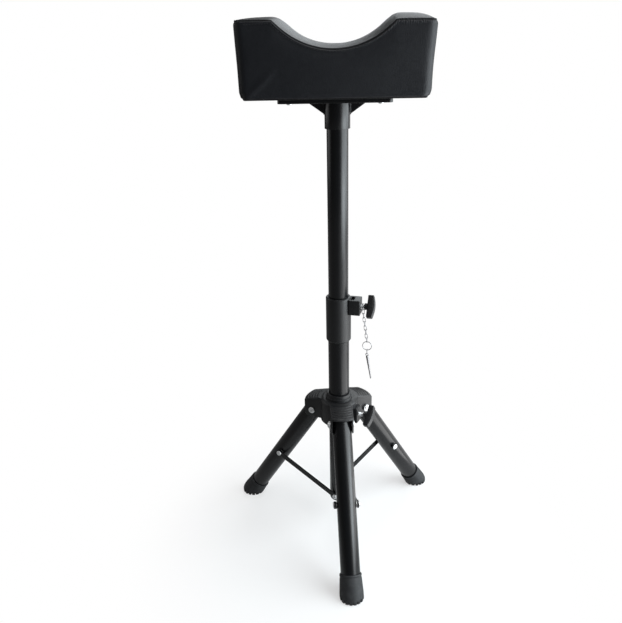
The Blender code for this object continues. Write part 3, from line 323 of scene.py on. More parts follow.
class Wire:
    """One socket of a material; arithmetic on wires makes Math nodes."""

    def __init__(self, tree, socket=None):
        self.tree = tree
        self.socket = socket

    def node(self, kind, settings=None, values=None, output=0):
        """Adds a node: its settings first, then its sockets by name or number, as values or links."""
        node = self.tree.nodes.new(kind)
        for name, value in (settings or {}).items():
            setattr(node, name, value)
        for key, value in (values or {}).items():
            if isinstance(value, Wire):
                self.tree.links.new(value.socket, node.inputs[key])
            else:
                node.inputs[key].default_value = value
        return Wire(self.tree, node.outputs[output])

    def math(self, operation, first, second=0.0, clamp=False):
        """One Math node of two values."""
        settings = {"operation": operation, "use_clamp": clamp}
        return self.node("ShaderNodeMath", settings, {0: first, 1: second})

    def __add__(self, other):
        return self.math("ADD", self, other)

    def __radd__(self, other):
        return self.math("ADD", other, self)

    def __sub__(self, other):
        return self.math("SUBTRACT", self, other)

    def __rsub__(self, other):
        return self.math("SUBTRACT", other, self)

    def __mul__(self, other):
        return self.math("MULTIPLY", self, other)

    def __rmul__(self, other):
        return self.math("MULTIPLY", other, self)

    def clamped(self):
        """The value, held between 0 and 1."""
        return self.math("ADD", self, 0.0, clamp=True)

    def between(self, low, high):
        """Climbs smoothly from 0 at low to 1 at high."""
        settings = {"interpolation_type": "SMOOTHSTEP"}
        return self.node("ShaderNodeMapRange", settings, {"Value": self, "From Min": low, "From Max": high})

    def blend(self, first, second):
        """A colour from first, at 0, to second, at 1."""
        values = {0: self, 6: (*first, 1.0) if isinstance(first, tuple) else first}
        values[7] = (*second, 1.0) if isinstance(second, tuple) else second
        return self.node("ShaderNodeMix", {"data_type": "RGBA"}, values, output=2)

    def place(self):
        """Object coordinates, in metres."""
        return self.node("ShaderNodeTexCoord", output=3)

    def own(self, name):
        """A value that the piece's mesh keeps at its points."""
        return self.node("ShaderNodeAttribute", {"attribute_name": name}, output="Fac")

    def stretched(self, scale):
        """Object coordinates, scaled by a vector."""
        settings = {"operation": "MULTIPLY"}
        return self.node("ShaderNodeVectorMath", settings, {0: self.place(), 1: scale})

    def noise(self, scale, detail=2.0, place=None):
        """Soft noise about 0.5, with so many waves a metre."""
        values = {"Vector": place or self.place(), "Scale": scale, "Detail": detail}
        return self.node("ShaderNodeTexNoise", None, values)

    def cells(self, scale, feature="DISTANCE_TO_EDGE"):
        """Distance within a pattern of cells, with so many a metre."""
        values = {"Vector": self.place(), "Scale": scale}
        return self.node("ShaderNodeTexVoronoi", {"feature": feature}, values)

    def bump(self, height, distance):
        """A normal from a height; distance is the height of 1, in metres."""
        values = {"Strength": 1.0, "Distance": distance, "Height": height}
        return self.node("ShaderNodeBump", None, values)


def finish(name, build, **constants):
    """A Principled material: constants go on its sockets, and build(wire) gives the sockets that vary."""
    material = bpy.data.materials.new(name)
    material.use_nodes = True
    tree = material.node_tree
    shader = tree.nodes["Principled BSDF"]
    for key, value in constants.items():
        socket = shader.inputs[key.replace("_", " ").title().replace("Ior", "IOR")]
        socket.default_value = (*value, 1.0) if isinstance(value, tuple) else value
    for key, wire in build(Wire(tree)).items():
        tree.links.new(wire.socket, shader.inputs[key])
    return material


def powder_coat(w):
    """Satin black coating: a fine orange peel and a faintly uneven shine."""
    peel = w.noise(1500.0, 1.0) * 0.7 + w.noise(4200.0, 0.0) * 0.3
    cloud = w.noise(40.0, 3.0)
    return {
        "Base Color": cloud.blend((0.0042, 0.0045, 0.0052), (0.0056, 0.0060, 0.0068)),
        "Roughness": 0.19 + cloud * 0.08,
        "Normal": w.bump(peel, 0.00006),
    }


def moulding(w):
    """Black moulded plastic: a fine spark-eroded grain, duller in the hollows."""
    grain = w.noise(2600.0, 2.0)
    cloud = w.noise(60.0, 2.0)
    return {
        "Base Color": cloud.blend((0.0055, 0.0058, 0.0066), (0.0080, 0.0084, 0.0094)),
        "Roughness": 0.34 + cloud * 0.10 + grain * 0.06,
        "Normal": w.bump(grain, 0.00005),
    }


def leatherette(w):
    """Black leatherette: small rounded pebbles with creases between them, with painted shade: paler on their
    crowns, darker in the creases.

    The cover's own values paint shade into it in the seam's groove and along the hem, and ruffle it beside
    the seam.
    """
    bend = w.noise(300.0, 2.0)
    pebbles = w.cells(820.0).between(0.0, 0.22)
    fine = w.noise(3000.0, 2.0)
    height = pebbles * 0.75 + fine * 0.2 + bend * 0.5
    along = w.node("ShaderNodeSeparateXYZ", None, {0: w.place()}, output="X")
    ruffle = w.math("SINE", along * 1900.0 + w.noise(160.0, 1.0) * 14.0) * w.noise(220.0, 1.0)
    # tone: painted shade, darker in the creases between pebbles, plus a random tone
    tone = (pebbles * 0.6 + w.noise(14.0, 3.0) * 0.6).clamped()
    # seam: painted shade in the seam's groove and along the hem
    seam = w.own("seam")
    leather = tone.blend((0.0040, 0.0046, 0.0064), (0.0068, 0.0077, 0.0104))
    return {
        "Base Color": seam.blend(leather, (0.0015, 0.0015, 0.0018)),
        "Roughness": 0.42 + w.noise(25.0, 2.0) * 0.12 + seam * 0.4,
        "Normal": w.bump(height + ruffle * w.own("ruffle") * 9.0, 0.00010),
    }


def boot_rubber(w):
    """Dark grey rubber, dusty and matt."""
    dust = w.noise(120.0, 4.0)
    return {
        "Base Color": dust.between(0.35, 0.75).blend((0.018, 0.0188, 0.0202), (0.033, 0.0340, 0.0358)),
        "Roughness": 0.55 + dust * 0.2,
        "Normal": w.bump(w.noise(1600.0, 2.0), 0.00006),
    }


def zinc(w):
    """Zinc plate: cool grey with a faint cloud of passivation."""
    cloud = w.noise(260.0, 3.0)
    return {
        "Base Color": cloud.blend((0.66, 0.67, 0.68), (0.80, 0.81, 0.81)),
        "Roughness": 0.36 + cloud * 0.16,
    }


def bright_steel(w):
    """Bright plated wire, lightly drawn."""
    drawn = w.noise(900.0, 3.0)
    return {
        "Base Color": drawn.blend((0.25, 0.25, 0.26), (0.36, 0.36, 0.37)),
        "Roughness": 0.24 + drawn * 0.14,
    }


def plywood(w):
    """Birch plywood: long grain along the board, with darker glue lines between its layers."""
    grain = w.noise(1.0, 4.0, w.stretched((18.0, 240.0, 240.0)))
    layers = w.noise(1.0, 0.0, w.stretched((2.0, 2.0, 700.0)))
    tone = (grain * 0.7 + layers * 0.4).clamped()
    return {
        "Base Color": tone.blend((0.36, 0.24, 0.13), (0.62, 0.47, 0.30)),
        "Roughness": 0.55 + grain * 0.2,
        "Normal": w.bump(grain, 0.0001),
    }


def foam(w):
    """Cream polyether foam with open cells, with painted shade darkening the pores."""
    pores = w.cells(1100.0, "F1")
    return {
        "Base Color": pores.blend((0.62, 0.56, 0.38), (0.84, 0.79, 0.62)),
        "Roughness": 0.85 + pores * 0.1,
        "Normal": w.bump(pores, 0.0002),
    }


def thread(w):
    """Twisted black thread."""
    twist = w.noise(5200.0, 1.0)
    return {
        "Base Color": twist.blend((0.010, 0.010, 0.012), (0.030, 0.031, 0.034)),
        "Roughness": 0.5 + twist * 0.2,
    }


FINISHES = {
    "powder_coat": finish("satin_powder_coat", powder_coat, specular_ior_level=0.34),
    "moulding": finish("black_moulding", moulding, specular_ior_level=0.42),
    "leatherette": finish("black_leatherette", leatherette, specular_ior_level=0.28),
    "boot_rubber": finish("grey_rubber", boot_rubber, specular_ior_level=0.30),
    "zinc": finish("zinc_plate", zinc, metallic=1.0),
    "bright_steel": finish("bright_wire", bright_steel, metallic=1.0),
    "plywood": finish("birch_plywood", plywood),
    "foam": finish("cream_foam", foam),
    "thread": finish("black_thread", thread, specular_ior_level=0.30),
}


# ---------------------------------------------------------------- shapes


def unit(vectors):
    """The same directions at length one."""
    return vectors / np.maximum(np.linalg.norm(vectors, axis=-1, keepdims=True), 1e-12)


def smooth(value, low, high):
    """Climbs from 0 at low to 1 at high as 3 s^2 - 2 s^3."""
    share = np.clip((value - low) / (high - low), 0.0, 1.0)
    return share * share * (3 - 2 * share)


def hill(value, width):
    """A bell of height one: exp of minus the square of value over width."""
    return np.exp(-((value / width) ** 2))


def grid(points, wrap_rows=False, wrap_columns=True):
    """Quads between neighbours of a (rows, columns, 3) array; either way may close on itself."""
    rows, columns = points.shape[:2]
    number = np.arange(rows * columns).reshape(rows, columns)
    if wrap_rows:
        number = np.vstack([number, number[:1]])
    if wrap_columns:
        number = np.hstack([number, number[:, :1]])
    quads = np.stack([number[:-1, :-1], number[:-1, 1:], number[1:, 1:], number[1:, :-1]], axis=-1)
    return points.reshape(-1, 3), quads.reshape(-1, 4).tolist()


def placed(shape, matrix):
    """A shape, moved and turned by a matrix."""
    points, faces = shape
    return points @ matrix[:3, :3].T + matrix[:3, 3], faces


def together(shapes):
    """Several shapes as one: points one after another, faces renumbered to follow them."""
    starts = np.cumsum([0] + [len(points) for points, _ in shapes[:-1]])
    points = np.concatenate([points for points, _ in shapes])
    faces = []
    for start, (_, some) in zip(starts, shapes):
        faces.extend([corner + int(start) for corner in face] for face in some)
    return points, faces


def rounded(corners, cut, steps=4, closed=False):
    """Replaces each corner of a line by a small parabola that starts and ends cut away from it.

    The parabola is the weighted mean of start, corner and end with weights (1 - s)^2, 2 s (1 - s), s^2.
    """
    corners = np.asarray(corners, float)
    before = np.roll(corners, 1, axis=0) - corners
    after = np.roll(corners, -1, axis=0) - corners
    cut = np.array(np.broadcast_to(cut, len(corners)), float)
    if not closed:
        cut[[0, -1]] = 0.0
    room = np.minimum(np.linalg.norm(before, axis=1), np.linalg.norm(after, axis=1)) / 2
    cut = np.minimum(cut, room)[:, None]
    start = corners + unit(before) * cut
    end = corners + unit(after) * cut
    share = np.linspace(0.0, 1.0, steps)[None, :, None]
    line = (
        (1 - share) ** 2 * start[:, None]
        + 2 * share * (1 - share) * corners[:, None]
        + share**2 * end[:, None]
    )
    line = line.reshape(-1, corners.shape[1])
    step = np.linalg.norm(line - np.roll(line, 1, axis=0), axis=1)
    step[0] = 1.0
    return line[step > 1e-8]


def around(sides):
    """Angles of so many sides round a circle."""
    return np.linspace(0.0, math.tau, sides, endpoint=False)


def hexagon(flat, sides):
    """Reach of a hexagon at each angle.

    It is half the width over the cosine of the angle from the flat's middle.
    """
    return flat / np.cos(np.mod(around(sides), math.pi / 3) - math.pi / 6)


def turned(profile, sides=TUBE_SIDES, ring=False, limit=np.inf):
    """Spins (radius, height) points about Z: x = r cos t, y = r sin t, with r held within a limit."""
    profile = np.asarray(profile, float)
    angle = around(sides)
    radius = np.minimum(profile[:, :1], limit) * np.ones(sides)
    height = profile[:, 1:] * np.ones(sides)
    return grid(np.stack([radius * np.cos(angle), radius * np.sin(angle), height], axis=-1), wrap_rows=ring)


def tube(outer, inner, low, high, cut=0.0004):
    """A tube along Z with rounded rims."""
    corners = [(outer, low), (outer, high), (inner, high), (inner, low)]
    return turned(rounded(corners, cut, closed=True), ring=True)


def rod(radius, low, high, sides=32):
    """A plain round bar along Z, to cut holes with."""
    return turned([(0, low), (radius, low), (radius, high), (0, high)], sides)


def threaded(radius, low, high, tail=0.0008):
    """A screw thread along Z.

    The radius falls by a triangle wave of height over pitch less angle over a turn.
    """
    rows = int(round((high - low) / THREAD_PITCH * 6)) + 1
    height = np.linspace(low, high, rows)[:, None] * np.ones(SCREW_SIDES)
    angle = around(SCREW_SIDES)
    wave = np.abs(2 * np.mod(height / THREAD_PITCH - angle / math.tau, 1.0) - 1)
    ends = 1 - np.minimum(np.minimum(height - low, high - height) / tail, 1.0)
    reach = radius - THREAD_DEPTH * np.maximum(wave, 1.6 * ends)
    reach = np.vstack([np.zeros(SCREW_SIDES), reach, np.zeros(SCREW_SIDES)])
    height = np.vstack([height[:1], height, height[-1:]])
    return grid(np.stack([reach * np.cos(angle), reach * np.sin(angle), height], axis=-1))


def button_bolt(head_radius, head, shank_radius, length, socket):
    """A bolt along Z: a domed head above zero with a six-sided socket, and a plain shank below."""
    outside = rounded(
        [
            (0, -length),
            (shank_radius, -length),
            (shank_radius, 0),
            (head_radius, 0),
            (head_radius, head * 0.55),
            (head_radius * 0.80, head * 0.94),
            (socket * 1.25, head),
            (socket * 1.16, head),
        ],
        [0, 0.0005, 0, 0.0002, 0.0010, 0.0014, 0, 0],
    )
    inside = np.array([(socket * 1.16, head * 0.96), (socket * 1.16, head * 0.42), (0, head * 0.36)])
    limit = np.vstack([np.full((len(outside), 48), np.inf), np.tile(hexagon(socket, 48), (3, 1))])
    return turned(np.vstack([outside, inside]), 48, limit=limit)


def hex_nut(corner, bore, low, high):
    """A nut along Z: a hexagon whose corners are turned down to a circle near both faces."""
    flat = corner * math.cos(math.pi / 6)
    bevel = (corner - flat) * 0.6
    profile = [
        (bore, low),
        (flat * 0.98, low),
        (corner, low + bevel),
        (corner, high - bevel),
        (flat * 0.98, high),
        (bore, high),
    ]
    limit = np.tile(hexagon(flat, 48), (6, 1))
    return turned(profile, 48, ring=True, limit=limit)


def drawn_in(outline, inset):
    """An outline, run counter-clockwise, moved inwards.

    Each corner goes along the mean of its sides' normals.
    """
    ahead = unit(np.roll(outline, -1, axis=0) - outline)
    behind = unit(outline - np.roll(outline, 1, axis=0))
    first = np.stack([ahead[:, 1], -ahead[:, 0]], axis=1)
    second = np.stack([behind[:, 1], -behind[:, 0]], axis=1)
    normal = (first + second) / (1 + np.sum(first * second, axis=1, keepdims=True))
    return outline - inset[:, None, None] * normal


def edge_rows(cut, steps):
    """A quarter circle from a face to a side: how far it is drawn in, and how deep below the face it lies."""
    angle = np.linspace(0.0, math.pi / 2, steps)
    return np.stack([cut * (1 - np.sin(angle)), cut * (1 - np.cos(angle))], axis=1)


def slab(outline, low, high, cut, steps=5):
    """A plate: an outline in x and y carried along Z and drawn in near both faces, so its edges are round."""
    outline = np.asarray(outline, float)
    edge = edge_rows(cut, steps)
    rows = drawn_in(outline, np.concatenate([edge[:, 0], edge[::-1, 0]]))
    height = np.concatenate([low + edge[:, 1], high - edge[::-1, 1]])[:, None] * np.ones(len(outline))
    points, faces = grid(np.concatenate([rows, height[..., None]], axis=-1))
    last = len(points) - len(outline)
    faces.append(list(range(len(outline)))[::-1])
    faces.append(list(range(last, len(points))))
    return points, faces


def rectangle(low_x, low_y, high_x, high_y, corner):
    """A rectangle with round corners, counter-clockwise."""
    corners = [(low_x, low_y), (high_x, low_y), (high_x, high_y), (low_x, high_y)]
    return rounded(corners, corner * 1.3, 7, closed=True)


def slot_line(length, width, steps=10):
    """A bar outline with round ends, long along Y: half circles about two centres."""
    angle = np.concatenate([np.linspace(0, math.pi, steps), np.linspace(math.pi, math.tau, steps)])
    lift = np.repeat([1.0, -1.0], steps) * (length - width) / 2
    return np.stack([width / 2 * np.cos(angle), lift + width / 2 * np.sin(angle)], axis=1)


def wire(path, radius, sides=10, closed=True):
    """A round wire along a path: circles about its points, square to the way from each one's neighbours."""
    path = np.asarray(path, float)
    way = np.roll(path, -1, axis=0) - np.roll(path, 1, axis=0) if closed else np.gradient(path, axis=0)
    along = unit(way)
    flat = np.array([0.0, 1.0, 0.0]) + 1e-4
    side = unit(np.cross(along, flat))
    up = np.cross(side, along)
    angle = around(sides)[None, :, None]
    reach = np.broadcast_to(radius, len(path))[:, None, None]
    points = path[:, None] + reach * (np.cos(angle) * side[:, None] + np.sin(angle) * up[:, None])
    return grid(points, wrap_rows=closed)


def flat_path(outline):
    """An outline of (x, y) points stood up in the x and z plane."""
    return np.stack([outline[:, 0], np.zeros(len(outline)), outline[:, 1]], axis=1)


def circle_line(radius, sides):
    """Points round a circle."""
    return radius * np.stack([np.cos(around(sides)), np.sin(around(sides))], axis=1)


def swept(outline, half_width, bulge=0.0, cut=0.0, steps=24):
    """A lobe: a side outline of (reach, height) carried across X, whose reach swells by bulge (1 - share^2).

    The outline is drawn in towards both cheeks, so that their edges are round.
    """
    outline = np.asarray(outline, float)
    even = np.linspace(cut - half_width, half_width - cut, steps + 1)
    middle = np.stack([np.zeros(steps + 1), even], axis=1)
    if cut:
        end = edge_rows(cut, 5)
        low = np.stack([end[:, 0], end[:, 1] - half_width], axis=1)
        middle = np.vstack([low, middle[1:-1], low[::-1] * (1, -1)])
    reach = drawn_in(outline, middle[:, 0])
    swell = bulge * (1 - (middle[:, 1] / half_width) ** 2)
    across = middle[:, 1][:, None] * np.ones(len(outline))
    points, faces = grid(np.stack([across, -reach[..., 0] - swell[:, None], reach[..., 1]], axis=-1))
    faces.append(list(range(len(outline)))[::-1])
    faces.append(list(range(len(points) - len(outline), len(points))))
    return points, faces


def box_shape(low, high):
    """A plain box between two corners, to cut slots with."""
    (x0, y0, z0), (x1, y1, z1) = low, high
    outline = np.array([(x0, y0), (x1, y0), (x1, y1), (x0, y1)])
    points = np.vstack([np.c_[outline, np.full(4, z0)], np.c_[outline, np.full(4, z1)]])
    sides = [[n, (n + 1) % 4, (n + 1) % 4 + 4, n + 4] for n in range(4)]
    return points, [[3, 2, 1, 0], [4, 5, 6, 7]] + sides


# ---------------------------------------------------------------- pieces


def mesh_of(name, shape):
    """A mesh from a shape: seams and poles closed, faces outward."""
    points, faces = shape
    mesh = bpy.data.meshes.new(name)
    mesh.from_pydata(points.tolist(), [], faces)
    work = bmesh.new()
    work.from_mesh(mesh)
    bmesh.ops.remove_doubles(work, verts=work.verts, dist=MERGE_DISTANCE)
    bmesh.ops.dissolve_degenerate(work, edges=work.edges, dist=MERGE_DISTANCE)
    bmesh.ops.recalc_face_normals(work, faces=work.faces)
    work.to_mesh(mesh)
    work.free()
    return mesh


def shown(name, mesh):
    """An object in the scene with that mesh."""
    obj = bpy.data.objects.new(name, mesh)
    bpy.context.scene.collection.objects.link(obj)
    return obj


def carved(obj, steps):
    """Joins shapes to an object and cuts shapes out of it, one after another, and keeps the result."""
    tools = []
    for operation, shape in steps:
        tool = shown("tool", mesh_of("tool", shape))
        modifier = obj.modifiers.new(operation, "BOOLEAN")
        modifier.operation = operation
        modifier.solver = "EXACT"
        modifier.object = tool
        tools.append(tool)
    graph = bpy.context.evaluated_depsgraph_get()
    result = bpy.data.meshes.new_from_object(obj.evaluated_get(graph))
    obj.modifiers.clear()
    obj.data = result
    for tool in tools:
        bpy.data.objects.remove(tool)


def dressed(obj, body, slot, nodes):
    """Shades an object's round faces smooth, gives it its finish and its body, and hides the nodes it stands
    for.
    """
    mesh = obj.data
    mesh.shade_smooth()
    mesh.set_sharp_from_angle(angle=SMOOTH_ANGLE)
    mesh.materials.clear()
    mesh.materials.append(FINISHES[slot])
    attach(obj, body)
    if nodes:
        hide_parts(*nodes)
    return obj


def piece(node, body, slot, shapes, place, steps=(), name=None, nodes=None):
    """One dressed piece that stands for a node.

    Its shapes are in a group's frame, and so are the joins and cuts that follow.
    """
    whole = placed(together(shapes), place)
    obj = shown(name or "fine_" + node, mesh_of(node, whole))
    if steps:
        carved(obj, [(operation, placed(shape, place)) for operation, shape in steps])
    return dressed(obj, body, slot, [node] if nodes is None else nodes)


CUT = "DIFFERENCE"
JOIN = "UNION"


def add_column():
    """Lower tube, clamp sleeve with its nut, foot plug and the struts' lower bolts."""
    pin_hole = rod(PIN_HOLE_RADIUS, -THROUGH - PAST, THROUGH + PAST)
    pin_hole = placed(pin_hole, shift(z=PIN_HOLE_LEVELS[0]) @ ALONG_X)
    lower = tube(LOWER_RADIUS, COLUMN_BORE, COLUMN_LOW, COLUMN_TOP)
    piece("lower_tube", "column", "powder_coat", [lower], COLUMN, [(CUT, pin_hole)])

    corners = [
        (SLEEVE_RADIUS - SLEEVE_CHAMFER, SLEEVE_TOP),
        (SLEEVE_RADIUS, SLEEVE_TOP - SLEEVE_CHAMFER),
        (SLEEVE_RADIUS, SLEEVE_LOW + SLEEVE_TAPER),
        (SLEEVE_RADIUS - SLEEVE_TAPER, SLEEVE_LOW),
        (SLEEVE_BORE, SLEEVE_LOW),
        (SLEEVE_BORE, COLUMN_TOP + FIT_GAP),
        (COLUMN_BORE, COLUMN_TOP + FIT_GAP),
        (COLUMN_BORE, SLEEVE_TOP),
    ]
    sleeve = turned(rounded(corners, [0.0008, 0.0008, 0.001, 0.001, 0, 0, 0, 0.0003], closed=True), ring=True)
    in_column = turn("Z", CLAMP_TURN)
    half = BOSS_WIDTH / 2
    boss = slab(rectangle(BOSS_START, -half, BOSS_REACH, half, 0.0012), BOSS_LOW, BOSS_TOP, 0.0008)
    room = NUT_RADIUS + FIT_GAP
    slot_low = (CLAMP_NUT_START - FIT_GAP, -room, CLAMP_LEVEL - room)
    slot_high = (CLAMP_NUT_START + NUT_THICKNESS + FIT_GAP, room, BOSS_TOP + PAST)
    screw_hole = rod(LOCK_SCREW_RADIUS + FIT_GAP, COLUMN_BORE, BOSS_REACH + PAST)
    screw_hole = placed(screw_hole, shift(z=CLAMP_LEVEL) @ ALONG_X)
    steps = [
        (JOIN, placed(boss, in_column)),
        (CUT, placed(box_shape(slot_low, slot_high), in_column)),
        (CUT, placed(screw_hole, in_column)),
        (CUT, pin_hole),
    ]
    piece("clamp_sleeve", "column", "moulding", [sleeve], COLUMN, steps)
    nut = hex_nut(NUT_RADIUS, LOCK_SCREW_RADIUS + FIT_GAP, CLAMP_NUT_START, CLAMP_NUT_START + NUT_THICKNESS)
    piece("clamp_nut", "column", "zinc", [placed(nut, ALONG_X)], CLAMP)

    plug_low = COLUMN_LOW - FIT_GAP
    plug_radius = COLUMN_BORE - FIT_GAP
    corners = [
        (0, COLUMN_LOW + PLUG_LENGTH),
        (plug_radius, COLUMN_LOW + PLUG_LENGTH),
        (plug_radius, plug_low),
        (LOWER_RADIUS, plug_low),
        (LOWER_RADIUS, plug_low - PLUG_FLANGE),
        (0, plug_low - PLUG_FLANGE),
    ]
    plug = turned(rounded(corners, [0, 0.001, 0, 0.0005, 0.0012, 0]))
    piece("spreader_plug", "column", "moulding", [plug], COLUMN)
    seat = STRUT_OUTSIDE + FIT_GAP
    length = seat - (plug_radius - BASE_BOLT_DEPTH)
    bolt = button_bolt(STRUT_HEAD_RADIUS, STRUT_HEAD, STRUT_BOLT_RADIUS, length, STRUT_SOCKET)
    for name, base in STRUT_BASES.items():
        piece("strut_base_bolt_" + name, "column", "zinc", [bolt], base @ shift(x=seat) @ ALONG_X)


def knob_shapes(neck):
    """A wing knob on a screw along X: a round neck, and a bar whose outer face bows by bow (1 - share^2)."""
    face = neck + NECK_LENGTH
    outer = face + KNOB_THICKNESS
    half = KNOB_LENGTH / 2
    share = np.linspace(-1, 1, 25)[1:-1]
    bow = np.stack([outer + KNOB_BOW * (1 - share**2), half * share], axis=1)
    outline = np.vstack([[(face, half), (face, -half), (outer, -half)], bow, [(outer, half)]])
    cut = np.concatenate([[0.0015, 0.0015, 0.0022], np.zeros(len(bow)), [0.0022]])
    bar = slab(rounded(outline, cut, 6, closed=True), -KNOB_WIDTH / 2, KNOB_WIDTH / 2, 0.0016, 6)
    corners = [
        (0, neck),
        (NECK_RADIUS, neck),
        (NECK_RADIUS, face),
        (NECK_RADIUS + OVERLAP, face + OVERLAP),
        (0, face + OVERLAP),
    ]
    collar = turned(rounded(corners, [0, 0.0006, 0.0004, 0, 0]), 64)
    return [placed(bar, UPRIGHT), placed(collar, ALONG_X)]


def add_locks():
    """The clamp's and the hub's screws and wing knobs."""
    tip = SLEEVE_BORE
    for node, body, neck, place in (
        ("clamp", "clamp", CLAMP_NECK, CLAMP @ turn("X", CLAMP_KNOB_TURN)),
        ("hub_lock", "hub_lock", HUB_NECK, HUB_LOCK @ turn("X", HUB_KNOB_TURN)),
    ):
        screw_end = neck + SCREW_IN_KNOB
        screw = placed(threaded(LOCK_SCREW_RADIUS, tip, screw_end), ALONG_X)
        piece(node + "_screw", body, "zinc", [screw], place)
        hole = placed(rod(LOCK_SCREW_RADIUS + FIT_GAP, neck - PAST, screw_end + FIT_GAP), ALONG_X)
        bar, collar = knob_shapes(neck)
        piece(node + "_knob", body, "moulding", [bar], place, [(JOIN, collar), (CUT, hole)])


def add_tether():
    """Loop, chain links, ring, last link and the tapered pin: closed wires in the planes they hang in."""
    swing = CLAMP @ shift(x=CHAIN_REACH) @ turn("X", CHAIN_SWAY)
    quarter = turn("Z", math.pi / 2)
    loop = wire(flat_path(circle_line(LOOP_RADIUS, 48)), LOOP_WIRE / 2)
    piece("tether_loop", "chain", "bright_steel", [loop], swing @ shift(z=-LOOP_DROP) @ quarter)
    first = -LOOP_DROP - LOOP_RADIUS + LOOP_WIRE / 2 + LINK_WIRE / 2 + FIT_GAP
    hang = swing @ shift(z=first) @ turn("Y", -CHAIN_LEAN)
    pitch = LINK_LENGTH - LINK_WIRE - FIT_GAP
    link = wire(flat_path(slot_line(LINK_LENGTH, LINK_WIDTH)), LINK_WIRE / 2)
    for number in range(LINK_COUNT):
        facing = np.eye(4) if number % 2 == 0 else quarter
        place = hang @ shift(z=-LINK_LENGTH / 2 - number * pitch) @ facing
        piece(f"chain_link_{number + 1}", "chain", "bright_steel", [link], place)

    end = np.linalg.inv(swing) @ hang @ shift(z=-LINK_LENGTH - (LINK_COUNT - 1) * pitch)
    rise = LINK_WIRE / 2 + RING_WIRE / 2 + FIT_GAP
    pin = swing @ shift(*end[:3, 3]) @ shift(z=rise) @ turn("X", -CHAIN_SWAY)
    ring = wire(flat_path(circle_line(RING_RADIUS, 64)), RING_WIRE / 2)
    piece("pin_ring", "pin", "bright_steel", [ring], pin @ shift(z=-RING_RADIUS))
    link_top = -2 * RING_RADIUS + RING_WIRE / 2 + LINK_WIRE / 2 + FIT_GAP
    piece("pin_link", "pin", "bright_steel", [link], pin @ shift(z=link_top - LINK_LENGTH / 2) @ quarter)
    eye_centre = link_top - LINK_LENGTH + LINK_WIRE / 2 + EYE_WIRE / 2 + FIT_GAP - EYE_RADIUS
    neck = -EYE_RADIUS - EYE_WIRE / 2 + OVERLAP
    corners = [
        (0, neck + 0.0003),
        (PIN_TOP_RADIUS * 0.8, neck),
        (PIN_TOP_RADIUS, neck - OVERLAP),
        (PIN_TIP_RADIUS, -PIN_LENGTH),
        (0, -PIN_LENGTH - PIN_TIP_RADIUS),
    ]
    taper = turned(rounded(corners, [0, 0.0003, 0.0008, 0.0010, 0], 6), 32)
    eye = wire(flat_path(circle_line(EYE_RADIUS, 32)), EYE_WIRE / 2)
    place = pin @ shift(z=eye_centre) @ turn("Y", -PIN_LEAN)
    piece("locking_pin", "pin", "bright_steel", [taper, eye], place)


def add_mast():
    """Upper tube with its height holes."""
    hole = rod(PIN_HOLE_RADIUS, -THROUGH, THROUGH)
    holes = [placed(hole, shift(z=level) @ ALONG_X) for level in PIN_HOLE_LEVELS]
    mast = tube(UPPER_RADIUS, UPPER_RADIUS - UPPER_WALL, MAST_LOW, MAST_TOP)
    piece("upper_tube", "mast", "powder_coat", [mast], COLUMN, [(CUT, together(holes))])


def lobe_top(reach):
    """Height of a lobe's sloping top at a reach from the column's axis."""
    start = CORE_RADIUS - LOBE_EDGE
    return RISE - LOBE_DROP * (reach - start) / (LOBE_REACH - LOBE_EDGE - start)


